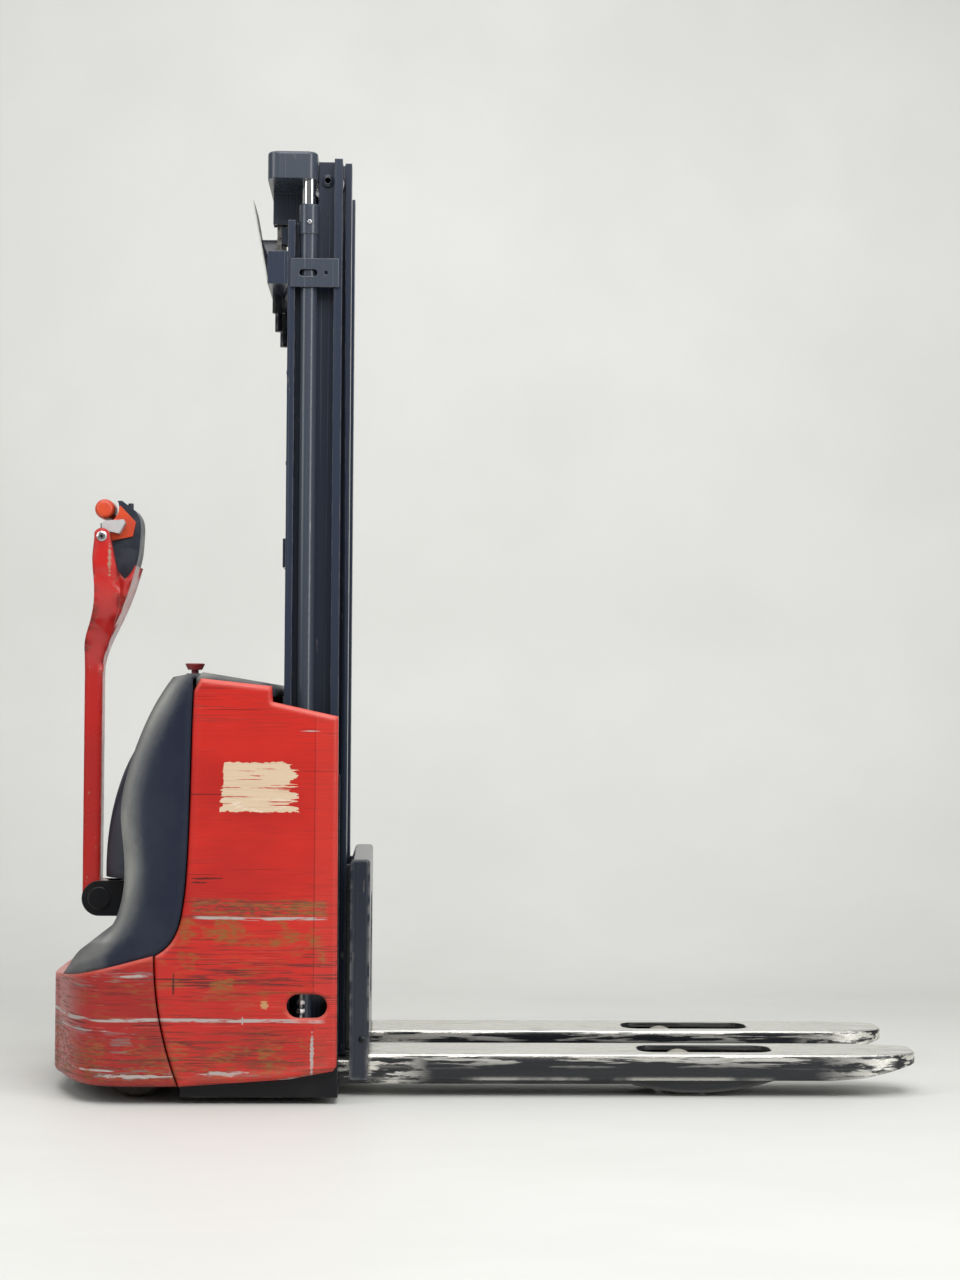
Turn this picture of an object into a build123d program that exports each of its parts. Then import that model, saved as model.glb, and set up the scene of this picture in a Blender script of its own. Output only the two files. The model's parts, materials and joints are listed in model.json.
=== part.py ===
"""Walk-behind electric forklift: a pedestrian stacker with a two-stage mast and wrap-over forks.

Millimetres. +X points along the forks, +Y to the operator's left, +Z up. The origin lies on the floor,
at the centre of the truck's length and width.
"""

import os

from build123d import *

os.makedirs("parts", exist_ok=True)

# Overall sizes
FORK_LENGTH = 1150
HEAD_LENGTH = 670
BODY_WIDTH = 800
MAST_TOP = 1956
LIFT_STROKE = 1420

# The fork face is the datum along the truck
FACE_X = (HEAD_LENGTH - FORK_LENGTH) / 2
HALF_BODY = BODY_WIDTH / 2

# The rear covers meet the side panels at an upright seam
REAR_COVER_LENGTH = 310
SEAM_X = HEAD_LENGTH - REAR_COVER_LENGTH
STEER_X = SEAM_X + 90

# Forks and support arms
FORK_SPREAD = 560
FORK_WIDTH = 180
FORK_TOP = 90
FORK_BOTTOM = 36
FORK_TOP_WALL = 10
FORK_SIDE_WALL = 8
FORK_NOSE = 125
FORK_NOSE_LIP = 14
FORK_EDGE_ROUND = 6
FORK_Y = (FORK_SPREAD - FORK_WIDTH) / 2
SLOT_START = 566
SLOT_LENGTH = 284
SLOT_WIDTH = 110
ARM_WIDTH = 144
ARM_TOP = 74
ARM_BOTTOM = 26
ARM_FRONT = 850
ARM_BELLY_START = 546
ARM_BELLY_DEPTH = 18
LOAD_WHEEL_X = 657
LOAD_WHEEL_RADIUS = 42.5
LOAD_WHEEL_WIDTH = 82
LOAD_AXLE_RADIUS = 10
WHEEL_WELL_GAP = 7

# Fork carriage
CARRIAGE_TOP = 493
CARRIAGE_THICKNESS = 41
HEEL_STEP = 2
HEEL_CLEARANCE = 4
CARRIAGE_WINDOW_BOTTOM = 170
CARRIAGE_WINDOW_TOP = 400
CARRIAGE_WINDOW_WIDTH = 250
BRACKET_PLATE = 12
BRACKET_BOTTOM = 84
BRACKET_TOP = 474
CHAIN_BAR_BOTTOM = 390
CHAIN_BAR_TOP = 420

# Mast sections
OUTER_FRONT = 69
OUTER_DEPTH = 113
OUTER_FRONT_FLANGE = 17
OUTER_REAR_FLANGE = 15
MAST_HALF = 284
OUTER_FLANGE_TIP = 221
OUTER_WEB_INNER = 238
MAST_WEB = 10
OUTER_REAR_TOP = MAST_TOP - 130
OUTER_NOTCH_BACK = 120
INNER_FRONT = 51
INNER_DEPTH = 100
INNER_FLANGE = 14
INNER_TIP_OUT = 219.5
INNER_TIP_IN = 160
INNER_WEB_INNER = 186
INNER_BOTTOM = 82
INNER_TOP = MAST_TOP - 10
INNER_CROSS_DEPTH = 18
INNER_CROSS_HEIGHT = 70
INNER_CROSS_MIDDLE = 900
OUTER_CROSS_DEPTH = 42
LOWER_CROSS_BOTTOM = 1100
LOWER_CROSS_HEIGHT = 60
LOWER_CROSS_DEPTH = 20
GUARD_THICKNESS = 4
GUARD_DROP = 21
ROLLER_GAP = 0.5
RUN_GAP = 0.05
SEAT_GAP = 0.1
ROLLER_AXLE = 10
CARRIAGE_ROLLER_LOW = 128
CARRIAGE_ROLLER_HIGH = 430
INNER_ROLLER_Z = 140
OUTER_ROLLER_Z = MAST_TOP - 40

MAST_BOLT_Y = MAST_HALF - 32
MAST_BOLT_HEIGHTS = (150, 430, 710)
MAST_BOLT_RADIUS = 11
MAST_BOLT_HEAD = 10

# Lift cylinders
CYLINDER_X = 139
CYLINDER_Y = 267
CYLINDER_RADIUS = 18
CYLINDER_WALL = 3
CYLINDER_TOP = MAST_TOP - 158
GLAND_RADIUS = 20.5
GLAND_TOP = CYLINDER_TOP + 63
ROD_RADIUS = 14
ROD_OVERLAP = 51
CLAMP_THICKNESS = 6
CLAMP_HEIGHT = 60
CLAMP_LOW = 420
CLAMP_SLOT = (38, 15)
CLAMP_HOLE_X = 102
CLAMP_HOLE_RADIUS = 4

# Crosshead, sheaves and chains
CROSSHEAD_BACK = 226
CROSSHEAD_FRONT = 121
CROSSHEAD_TOP = MAST_TOP + 14
CROSSHEAD_BOTTOM = CROSSHEAD_TOP - 57
CROSSHEAD_HALF = 292
CROSSHEAD_ROUND = 24
CHAIN_Y = 115
CHAIN_WIDTH = 16
CHAIN_THICKNESS = 10
CHAIN_BACK_X = 208
CHAIN_FRONT_X = 128
SHEAVE_Z = MAST_TOP - 56
SHEAVE_WIDTH = 22
SHEAVE_RIM = 4
CHEEK = 6
CHEEK_BOTTOM = SHEAVE_Z - 55
ANCHOR_BAR_TOP = MAST_TOP - 195
ANCHOR_BAR_BOTTOM = ANCHOR_BAR_TOP - 69
ANCHOR_BOLT_RADIUS = 8
ANCHOR_BOLT_END = ANCHOR_BAR_BOTTOM - 76
ANCHOR_NUT_RADIUS = 14
ANCHOR_NUT_HEIGHT = 36
ANCHOR_EYE_HEIGHT = 20

# Capacity plate
PLATE_BOTTOM = ANCHOR_BAR_BOTTOM + 24
PLATE_TOP = PLATE_BOTTOM + 178
PLATE_TOP_X = 262
PLATE_BOTTOM_X = 229
PLATE_THICKNESS = 3
PLATE_WIDTH = 190
PLATE_Y = -55
PLATE_LEG = 6
PLATE_LEG_SPREAD = 22
PLATE_LEG_TOP = ANCHOR_BAR_TOP + 60

# Chassis plates
FLOOR_BOTTOM = 14
PLATE = 12
PANEL_DEPTH = 26
SIDE_PLATE_Y = HALF_BODY - PANEL_DEPTH
SIDE_PLATE = 8
DRIVE_PLATE_BOTTOM = 224
DRIVE_PLATE = 14
DRIVE_WALL_X = SEAM_X - 62
BULKHEAD_TOP = 790
BULKHEAD_HALF = MAST_HALF + 16

# Covers
PANEL_WALL = 6
PANEL_RIM = 12
PANEL_ROUND = 9
GRAB_X = 125
GRAB_Z = 203
GRAB_LENGTH = 82
GRAB_HEIGHT = 48
SEAM_GAP = 2
BUMPER_WALL = 8
BUMPER_BOTTOM = 36
BUMPER_LEDGE = 40
BUMPER_LEDGE_BOTTOM = 206
BUMPER_ROUND = 16
SHROUD_WALL = 6
RECESS_HALF = 187
RECESS_X = STEER_X - 25
RECESS_FLOOR = 345
COVER_HALF = HALF_BODY - 34
COVER_HINGE_X = 191
COVER_HINGE_Z = 838
HINGE_PIN_RADIUS = 5
HINGE_POST_IN = 120
HINGE_POST_OUT = 200
HINGE_PIN_END = 245

# Seams between side panel, bumper and shroud: distance behind the fork face and height
SEAM_CORNER = (SEAM_X + 75, 303)
SEAM_UPPER = [
    SEAM_CORNER,
    (SEAM_X + 32, 346),
    (SEAM_X + 19, 394),
    (SEAM_X + 9, 507),
    (SEAM_X + 4, 694),
    (SEAM_X, 840),
]
SEAM_LOWER = [(SEAM_X + 24, 38), (SEAM_X + 63, 174), SEAM_CORNER]
BUMPER_TOP_LINE = [(SEAM_X + 181, 275), (HEAD_LENGTH - 30, 249)]

# Steering and drive
TURNTABLE_RADIUS = 110
TURNTABLE = 24
SLEW_RING_WIDTH = 26
SLEW_RING_HEIGHT = 10
TYRE_GAP = 4
SLEW_GAP = 0.5
MOTOR_RADIUS = 68
MOTOR_TOP = 332
DRIVE_WHEEL_RADIUS = 115
DRIVE_WHEEL_WIDTH = 75
DRIVE_HUB_RADIUS = 72
DRIVE_AXLE_RADIUS = 20
GEARBOX_RADIUS = 60
GEARBOX_WIDTH = 48
HOOD_RADIUS = 128

# Tiller
TILLER_X = STEER_X + 139
TILLER_Z = 391
TILLER_BOSS = 38
TILLER_DEPTH = 38
TILLER_HALF = 27
CLEVIS_GAP = 4
CLEVIS_EAR = 11
TILLER_PIN_RADIUS = 10
HEAD_HALF = 46
SIDE_ARM_OUT = 114
SIDE_ARM_IN = 86
HEAD_CHEEK = 5
BELLY_X = TILLER_X - 1
BELLY_Z = TILLER_Z + 847
BELLY_RADIUS = 25
BELLY_HALF = 40
BELLY_GAP = 9
GRIP_X = TILLER_X - 9
GRIP_Z = TILLER_Z + 759
GRIP_RADIUS = 14
THROTTLE_X = TILLER_X - 12
THROTTLE_Z = TILLER_Z + 806
THROTTLE_SHAFT = 5

# Castors
CASTOR_X = STEER_X + 55
CASTOR_Y = HALF_BODY - 138
CASTOR_TRAIL = 25
CASTOR_RADIUS = 62.5
CASTOR_WIDTH = 40
CASTOR_AXLE = 8
CASTOR_STEM = 10
CASTOR_BOSS = 28
CASTOR_CHEEK = 6
BOSS_BOTTOM = 172

# Battery and units inside
BATTERY_BACK = SEAM_X + 6
BATTERY_FRONT = OUTER_FRONT + OUTER_DEPTH + PLATE + 16
BATTERY_HALF = HALF_BODY - 70
BATTERY_BOTTOM = 268
BATTERY_TOP = 640
BATTERY_WALL = 4
BATTERY_RAIL = 120
CELL_ROWS = 2
CELLS_PER_ROW = 6
CELL_GAP = 2

# Emergency stop
STOP_X = SEAM_X + 30
STOP_COLLAR_RADIUS = 19
STOP_COLLAR_TOP = 880
STOP_COLLAR_BOTTOM = 856
STOP_STEM_RADIUS = 8
STOP_HEAD_BOTTOM = 888
STOP_HEAD_TOP = 902
STOP_HEAD_RADIUS = 21.5


def behind(distance):
    """X of a point this far behind the fork face."""
    return FACE_X - distance


def ahead(distance):
    """X of a point this far in front of the fork face."""
    return FACE_X + distance


def side_plane(y):
    """Upright plane across Y, drawn in X and Z as seen from the right-hand side."""
    return Plane.XZ.offset(-y)


def from_face(points):
    """Outline points given as distance behind the fork face and height."""
    return [(behind(distance), height) for distance, height in points]


def from_pin(points):
    """Outline points given as distance behind the tiller's pin and height above it."""
    return [(behind(TILLER_X + distance), TILLER_Z + height) for distance, height in points]


def save(part, name):
    """Labels a finished piece and writes its file."""
    part.label = name
    export_step(part, f"parts/{name}.step")


def save_pair(part, name):
    """Writes a right-hand piece and its mirror image."""
    save(mirror(part, about=Plane.XZ), f"{name}_left")
    save(part, f"{name}_right")


def slab(x_limits, y_limits, z_limits, mode=Mode.ADD):
    """A plate between the given limits, in the part being built."""
    (x0, x1), (y0, y1), (z0, z1) = sorted(x_limits), sorted(y_limits), sorted(z_limits)
    with Locations(((x0 + x1) / 2, (y0 + y1) / 2, (z0 + z1) / 2)):
        Box(x1 - x0, y1 - y0, z1 - z0, mode=mode)


def cross_pin(x, z, radius, y_limits, mode=Mode.ADD):
    """A round bar or hole along Y, in the part being built."""
    y0, y1 = sorted(y_limits)
    with BuildSketch(side_plane(y1)) as disc:
        with Locations((x, z)):
            Circle(radius)
    extrude(disc.sketch, amount=y1 - y0, mode=mode)


def upright(x, y, radius, z_limits, mode=Mode.ADD):
    """A round bar or hole along Z, in the part being built."""
    z0, z1 = sorted(z_limits)
    with BuildSketch(Plane.XY.offset(z0)) as disc:
        with Locations((x, y)):
            Circle(radius)
    extrude(disc.sketch, amount=z1 - z0, mode=mode)


def roller(x, z, radius, y_limits):
    """A roller along Y with chamfered rims, bored for its axle, in the part being built."""
    y0, y1 = sorted(y_limits)
    chamfer_size = 2
    with BuildSketch(Plane.XY.offset(z)) as half_section:
        with BuildLine():
            Polyline(
                (x + ROLLER_AXLE + RUN_GAP, y0),
                (x + radius - chamfer_size, y0),
                (x + radius, y0 + chamfer_size),
                (x + radius, y1 - chamfer_size),
                (x + radius - chamfer_size, y1),
                (x + ROLLER_AXLE + RUN_GAP, y1),
                close=True,
            )
        make_face()
    revolve(half_section.sketch, axis=Axis((x, 0, z), (0, 1, 0)))


def i_section(front, depth, front_flange, rear_flange, tips, web_inner):
    """Plan of a right-hand mast channel: two flanges and a web, in the sketch being built."""
    tip_in, tip_out = tips
    flange_y = -(tip_in + tip_out) / 2
    flange_span = tip_out - tip_in
    web_length = depth - front_flange - rear_flange
    with Locations((behind(front + front_flange / 2), flange_y)):
        Rectangle(front_flange, flange_span)
    with Locations((behind(front + depth - rear_flange / 2), flange_y)):
        Rectangle(rear_flange, flange_span)
    with Locations((behind(front + front_flange + web_length / 2), -(web_inner + MAST_WEB / 2))):
        Rectangle(web_length, MAST_WEB)


# Chassis plates: a welded tray, two side plates, the mast bulkhead and the raised drive plate
FLOOR_TOP = FLOOR_BOTTOM + PLATE
DRIVE_PLATE_TOP = DRIVE_PLATE_BOTTOM + DRIVE_PLATE
BULKHEAD_FRONT = OUTER_FRONT + OUTER_DEPTH
BULKHEAD_BACK = BULKHEAD_FRONT + PLATE
SIDE_PLATE_IN = SIDE_PLATE_Y - SIDE_PLATE
CHASSIS_FRONT = 62

with BuildPart() as chassis_tray:
    floor_x = (behind(CHASSIS_FRONT), behind(DRIVE_WALL_X))
    slab(floor_x, (-SIDE_PLATE_IN, SIDE_PLATE_IN), (FLOOR_BOTTOM, FLOOR_TOP))
    slab(
        (behind(DRIVE_WALL_X), behind(DRIVE_WALL_X + SIDE_PLATE)),
        (-SIDE_PLATE_IN, SIDE_PLATE_IN),
        (FLOOR_BOTTOM, DRIVE_PLATE_BOTTOM),
    )
save(chassis_tray.part, "chassis_tray")

SIDE_PLATE_OUTLINE = from_face(
    [
        (CHASSIS_FRONT, FLOOR_BOTTOM),
        (DRIVE_WALL_X + 84, FLOOR_BOTTOM),
        (DRIVE_WALL_X + 84, FLOOR_BOTTOM + 60),
        (DRIVE_WALL_X + 20, DRIVE_PLATE_TOP + 40),
        (BULKHEAD_BACK + 40, DRIVE_PLATE_TOP + 40),
        (BULKHEAD_BACK + 40, BULKHEAD_TOP - 90),
        (CHASSIS_FRONT, BULKHEAD_TOP - 120),
    ]
)
with BuildPart() as side_plate:
    with BuildSketch(side_plane(-SIDE_PLATE_IN)):
        with BuildLine():
            Polyline(*SIDE_PLATE_OUTLINE, close=True)
        make_face()
    extrude(amount=SIDE_PLATE)
    # The grab hole in the side panel opens into the mast foot
    with BuildSketch(side_plane(-SIDE_PLATE_IN)):
        with Locations((behind(GRAB_X), GRAB_Z)):
            SlotOverall(GRAB_LENGTH + 28, GRAB_HEIGHT + 22)
    extrude(amount=SIDE_PLATE, mode=Mode.SUBTRACT)
    mirror(about=Plane.XZ)
save(side_plate.part, "side_plates")

with BuildPart() as bulkhead:
    bulkhead_x = (behind(BULKHEAD_FRONT), behind(BULKHEAD_BACK))
    slab(bulkhead_x, (-BULKHEAD_HALF, BULKHEAD_HALF), (FLOOR_TOP, BULKHEAD_TOP))
    # The support arms pass through under the mast feet
    for side in (-1, 1):
        notch_y = (side * (FORK_Y - ARM_WIDTH / 2), side * (FORK_Y + ARM_WIDTH / 2))
        slab(bulkhead_x, notch_y, (FLOOR_TOP, ARM_TOP), mode=Mode.SUBTRACT)
    # Hinge posts and pins of the battery cover stand on the top edge
    for side in (-1, 1):
        post_y = (side * HINGE_POST_IN, side * HINGE_POST_OUT)
        slab((behind(COVER_HINGE_X - 3), behind(COVER_HINGE_X + 3)), post_y, (BULKHEAD_TOP, COVER_HINGE_Z))
        pin_y = (side * HINGE_POST_IN, side * HINGE_PIN_END)
        cross_pin(behind(COVER_HINGE_X), COVER_HINGE_Z, HINGE_PIN_RADIUS, pin_y)
save(bulkhead.part, "mast_bulkhead")


def parallel(curve, distance):
    """A curve beside another one, drawn through points moved square to it."""
    shares = [step / 8 for step in range(9)]
    moved = [curve @ share + Vector((curve % share).Y, -(curve % share).X) * distance for share in shares]
    return Spline(*moved, tangents=(curve % 0, curve % 1), mode=Mode.PRIVATE)


def body_plan(inset):
    """Plan of the head from the drive bay back to the bumper, drawn in from its edge."""
    front = behind(DRIVE_WALL_X)
    with BuildLine() as plan:
        edge = Spline(
            (behind(HEAD_LENGTH - 190), -HALF_BODY),
            (behind(HEAD_LENGTH - 74), -HALF_BODY + 58),
            (behind(HEAD_LENGTH - 22), -HALF_BODY + 190),
            (behind(HEAD_LENGTH), 0),
            tangents=((-1, 0), (0, 1)),
            mode=Mode.PRIVATE,
        )
        right = parallel(edge, inset) if inset else edge
        add(right)
        left = mirror(right, about=Plane.XZ)
        Line((front, -HALF_BODY + inset), right @ 0)
        Line((front, HALF_BODY - inset), left @ 0)
        Line((front, -HALF_BODY + inset), (front, HALF_BODY - inset))
    make_face(plan.edges())


with BuildPart() as drive_plate:
    with BuildSketch(Plane.XY.offset(DRIVE_PLATE_BOTTOM)):
        body_plan(BUMPER_LEDGE + SEAT_GAP)
        with Locations((behind((BULKHEAD_BACK + DRIVE_WALL_X + 60) / 2), 0)):
            Rectangle(DRIVE_WALL_X + 60 - BULKHEAD_BACK, 2 * SIDE_PLATE_IN)
        with Locations((behind(STEER_X), 0)):
            Circle(TURNTABLE_RADIUS + SLEW_GAP, mode=Mode.SUBTRACT)
    extrude(amount=DRIVE_PLATE)
    slab(
        (behind(0), behind(SEAM_CORNER[0] + SEAM_GAP)),
        (-HALF_BODY, -SIDE_PLATE_IN),
        (0, HALF_BODY),
        mode=Mode.SUBTRACT,
    )
    slab(
        (behind(0), behind(SEAM_CORNER[0] + SEAM_GAP)),
        (SIDE_PLATE_IN, HALF_BODY),
        (0, HALF_BODY),
        mode=Mode.SUBTRACT,
    )
    for side in (-1, 1):
        castor_y = side * CASTOR_Y
        upright(behind(CASTOR_X), castor_y, CASTOR_BOSS, (BOSS_BOTTOM, DRIVE_PLATE_BOTTOM))
        boss_z = (BOSS_BOTTOM, DRIVE_PLATE_BOTTOM)
        upright(behind(CASTOR_X), castor_y, CASTOR_STEM + RUN_GAP, boss_z, mode=Mode.SUBTRACT)
        # Battery rail
        slab(
            (behind(BATTERY_BACK), behind(BATTERY_FRONT)),
            (side * (BATTERY_HALF - BATTERY_RAIL - 10), side * (BATTERY_HALF - 10)),
            (DRIVE_PLATE_TOP, BATTERY_BOTTOM),
        )
save(drive_plate.part, "drive_plate")

with BuildPart() as mast_bolts:
    with BuildSketch(Plane.YZ.offset(behind(BULKHEAD_BACK + MAST_BOLT_HEAD))):
        with Locations(*[(side * MAST_BOLT_Y, z) for side in (-1, 1) for z in MAST_BOLT_HEIGHTS]):
            RegularPolygon(MAST_BOLT_RADIUS, 6)
    extrude(amount=MAST_BOLT_HEAD)
save(mast_bolts.part, "mast_bolts")

# Support arms, which the forks wrap over
with BuildPart() as support_arm:
    arm_back = behind(DRIVE_WALL_X)
    arm_front = ahead(ARM_FRONT)
    belly_start = ahead(ARM_BELLY_START)
    belly_middle = (belly_start + arm_front) / 2
    with BuildSketch(side_plane(-FORK_Y + ARM_WIDTH / 2)):
        with BuildLine():
            back_foot = (arm_back, ARM_BOTTOM)
            Polyline((belly_start, ARM_BOTTOM), back_foot, (arm_back, ARM_TOP), (arm_front, ARM_TOP))
            Line((arm_front, ARM_TOP), (arm_front, ARM_BOTTOM + 8))
            ThreePointArc(
                (arm_front, ARM_BOTTOM + 8),
                (belly_middle, ARM_BOTTOM - ARM_BELLY_DEPTH),
                (belly_start, ARM_BOTTOM),
            )
        make_face()
    extrude(amount=ARM_WIDTH)
    well_half = LOAD_WHEEL_RADIUS + WHEEL_WELL_GAP
    well_width = LOAD_WHEEL_WIDTH + 2 * WHEEL_WELL_GAP
    slab(
        (ahead(LOAD_WHEEL_X - well_half), ahead(LOAD_WHEEL_X + well_half)),
        (-FORK_Y - well_width / 2, -FORK_Y + well_width / 2),
        (0, ARM_TOP),
        mode=Mode.SUBTRACT,
    )
    cross_pin(
        ahead(LOAD_WHEEL_X),
        LOAD_WHEEL_RADIUS,
        LOAD_AXLE_RADIUS,
        (-FORK_Y - ARM_WIDTH / 2, -FORK_Y + ARM_WIDTH / 2),
    )
save_pair(support_arm.part, "support_arm")

with BuildPart() as load_wheel:
    wheel_x = ahead(LOAD_WHEEL_X)
    wheel_y = (-FORK_Y - LOAD_WHEEL_WIDTH / 2, -FORK_Y + LOAD_WHEEL_WIDTH / 2)
    wheel_round = 5
    with BuildSketch(Plane.XY.offset(LOAD_WHEEL_RADIUS)):
        with BuildLine():
            Polyline(
                (wheel_x + LOAD_AXLE_RADIUS + RUN_GAP, wheel_y[0]),
                (wheel_x + LOAD_WHEEL_RADIUS - wheel_round, wheel_y[0]),
                (wheel_x + LOAD_WHEEL_RADIUS, wheel_y[0] + wheel_round),
                (wheel_x + LOAD_WHEEL_RADIUS, wheel_y[1] - wheel_round),
                (wheel_x + LOAD_WHEEL_RADIUS - wheel_round, wheel_y[1]),
                (wheel_x + LOAD_AXLE_RADIUS + RUN_GAP, wheel_y[1]),
                close=True,
            )
        make_face()
    revolve(axis=Axis((wheel_x, 0, LOAD_WHEEL_RADIUS), (0, 1, 0)))
save_pair(load_wheel.part, "load_wheel")

# Forks: inverted channels that close over the support arms
with BuildPart() as fork:
    heel = behind(HEEL_STEP)
    tip = ahead(FORK_LENGTH)
    nose = ahead(FORK_LENGTH - FORK_NOSE)
    with BuildSketch(side_plane(-FORK_Y + FORK_WIDTH / 2)):
        with BuildLine():
            Polyline(
                (nose, FORK_BOTTOM),
                (heel, FORK_BOTTOM),
                (heel, FORK_TOP),
                (tip, FORK_TOP),
                (tip, FORK_TOP - FORK_NOSE_LIP),
            )
            ThreePointArc(
                (tip, FORK_TOP - FORK_NOSE_LIP),
                (tip - 0.42 * FORK_NOSE, FORK_BOTTOM + 11),
                (nose, FORK_BOTTOM),
            )
        make_face()
    extrude(amount=FORK_WIDTH)
    tip_edges = fork.edges().filter_by(Axis.Z).group_by(Axis.X)[-1]
    fillet(tip_edges, radius=FORK_WIDTH * 0.38)
    top_edges = fork.faces().sort_by(Axis.Z)[-1].edges().filter_by(lambda edge: edge.center().X > FACE_X + 1)
    fillet(top_edges, radius=FORK_EDGE_ROUND)
    slab(
        (heel, nose),
        (-FORK_Y - FORK_WIDTH / 2 + FORK_SIDE_WALL, -FORK_Y + FORK_WIDTH / 2 - FORK_SIDE_WALL),
        (0, FORK_TOP - FORK_TOP_WALL),
        mode=Mode.SUBTRACT,
    )
    with BuildSketch(Plane.XY):
        with Locations((ahead(SLOT_START + SLOT_LENGTH / 2), -FORK_Y)):
            RectangleRounded(SLOT_LENGTH, SLOT_WIDTH, SLOT_WIDTH * 0.35)
    extrude(amount=FORK_TOP + 1, mode=Mode.SUBTRACT)
save_pair(fork.part, "fork")

# Fork carriage: a plate that carries both forks, with roller brackets that reach into the mast
BRACKET_OUT = INNER_TIP_IN - 8
BRACKET_IN = BRACKET_OUT - BRACKET_PLATE
BRACKET_BACK = CHAIN_FRONT_X + 18
INNER_RECESS_X = INNER_FRONT + INNER_DEPTH / 2
CARRIAGE_ROLLER_RADIUS = (INNER_DEPTH - 2 * INNER_FLANGE) / 2 - ROLLER_GAP

with BuildPart() as carriage:
    slab(
        (FACE_X, behind(CARRIAGE_THICKNESS)),
        (-FORK_SPREAD / 2, FORK_SPREAD / 2),
        (FORK_BOTTOM, CARRIAGE_TOP),
    )
    fillet(carriage.edges().filter_by(Axis.Y).group_by(Axis.Z)[-1], radius=8)
    # The fork heels sit in a shallow step, below the face that the load leans on
    slab(
        (FACE_X, behind(HEEL_STEP)),
        (-FORK_SPREAD / 2, FORK_SPREAD / 2),
        (FORK_BOTTOM, FORK_TOP + HEEL_CLEARANCE),
        mode=Mode.SUBTRACT,
    )
    with BuildSketch(Plane.YZ.offset(behind(CARRIAGE_THICKNESS))):
        with Locations((0, (CARRIAGE_WINDOW_BOTTOM + CARRIAGE_WINDOW_TOP) / 2)):
            RectangleRounded(CARRIAGE_WINDOW_WIDTH, CARRIAGE_WINDOW_TOP - CARRIAGE_WINDOW_BOTTOM, 20)
        # Between the forks the plate stops well above the floor
        with Locations((0, FORK_BOTTOM)):
            Rectangle(FORK_SPREAD - 2 * FORK_WIDTH, 2 * (FORK_TOP - FORK_BOTTOM))
        # Each support arm passes under the plate, inside the fork's channel
        with Locations((-FORK_Y, 0), (FORK_Y, 0)):
            Rectangle(FORK_WIDTH - 2 * FORK_SIDE_WALL, 2 * (FORK_TOP - FORK_TOP_WALL))
    extrude(amount=CARRIAGE_THICKNESS, mode=Mode.SUBTRACT)
    with BuildSketch(side_plane(-BRACKET_IN)):
        with BuildLine():
            Polyline(
                *from_face(
                    [
                        (CARRIAGE_THICKNESS, BRACKET_BOTTOM),
                        (BRACKET_BACK - 20, BRACKET_BOTTOM),
                        (BRACKET_BACK, BRACKET_BOTTOM + 20),
                        (BRACKET_BACK, BRACKET_TOP - 20),
                        (BRACKET_BACK - 20, BRACKET_TOP),
                        (CARRIAGE_THICKNESS, BRACKET_TOP),
                    ]
                ),
                close=True,
            )
        make_face()
        with Locations((behind((CARRIAGE_THICKNESS + BRACKET_BACK) / 2), (BRACKET_BOTTOM + BRACKET_TOP) / 2)):
            SlotOverall(180, 46, rotation=90, mode=Mode.SUBTRACT)
    extrude(amount=BRACKET_PLATE)
    for roller_z in (CARRIAGE_ROLLER_LOW, CARRIAGE_ROLLER_HIGH):
        cross_pin(behind(INNER_RECESS_X), roller_z, ROLLER_AXLE, (-INNER_WEB_INNER + 1.5, -BRACKET_IN))
    mirror(about=Plane.XZ)
    slab(
        (behind(BRACKET_BACK), behind(2 * CHAIN_FRONT_X - BRACKET_BACK)),
        (-BRACKET_IN, BRACKET_IN),
        (CHAIN_BAR_BOTTOM, CHAIN_BAR_TOP),
    )
save(carriage.part, "fork_carriage")

for level, roller_z in (("lower", CARRIAGE_ROLLER_LOW), ("upper", CARRIAGE_ROLLER_HIGH)):
    with BuildPart() as carriage_rollers:
        roller_y = (-INNER_WEB_INNER + 2, -BRACKET_OUT - 9)
        roller(behind(INNER_RECESS_X), roller_z, CARRIAGE_ROLLER_RADIUS, roller_y)
        mirror(about=Plane.XZ)
    save(carriage_rollers.part, f"carriage_rollers_{level}")

# Outer mast
OUTER_BACK = OUTER_FRONT + OUTER_DEPTH
OUTER_RECESS_X = OUTER_FRONT + OUTER_FRONT_FLANGE + (OUTER_DEPTH - OUTER_FRONT_FLANGE - OUTER_REAR_FLANGE) / 2

with BuildPart() as outer_mast:
    with BuildSketch(Plane.XY.offset(ARM_TOP)):
        i_section(
            OUTER_FRONT,
            OUTER_DEPTH,
            OUTER_FRONT_FLANGE,
            OUTER_REAR_FLANGE,
            (OUTER_FLANGE_TIP, MAST_HALF),
            OUTER_WEB_INNER,
        )
    extrude(amount=MAST_TOP - ARM_TOP)
    # The back of the channel stops short, to leave room for the crosshead
    slab(
        (behind(OUTER_NOTCH_BACK), behind(OUTER_BACK)),
        (-MAST_HALF, -OUTER_FLANGE_TIP),
        (OUTER_REAR_TOP, MAST_TOP),
        mode=Mode.SUBTRACT,
    )
    axle_y = (-OUTER_WEB_INNER, -INNER_WEB_INNER - MAST_WEB - 2)
    cross_pin(behind(INNER_RECESS_X), OUTER_ROLLER_Z, ROLLER_AXLE, axle_y)
    mirror(about=Plane.XZ)
save(outer_mast.part, "outer_mast_channels")

PLATE_LEAN = (PLATE_TOP_X - PLATE_BOTTOM_X) / (PLATE_TOP - PLATE_BOTTOM)


def plate_front(height):
    """Distance behind the fork face of the capacity plate's front at this height."""
    return PLATE_BOTTOM_X + PLATE_LEAN * (height - PLATE_BOTTOM)


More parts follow.
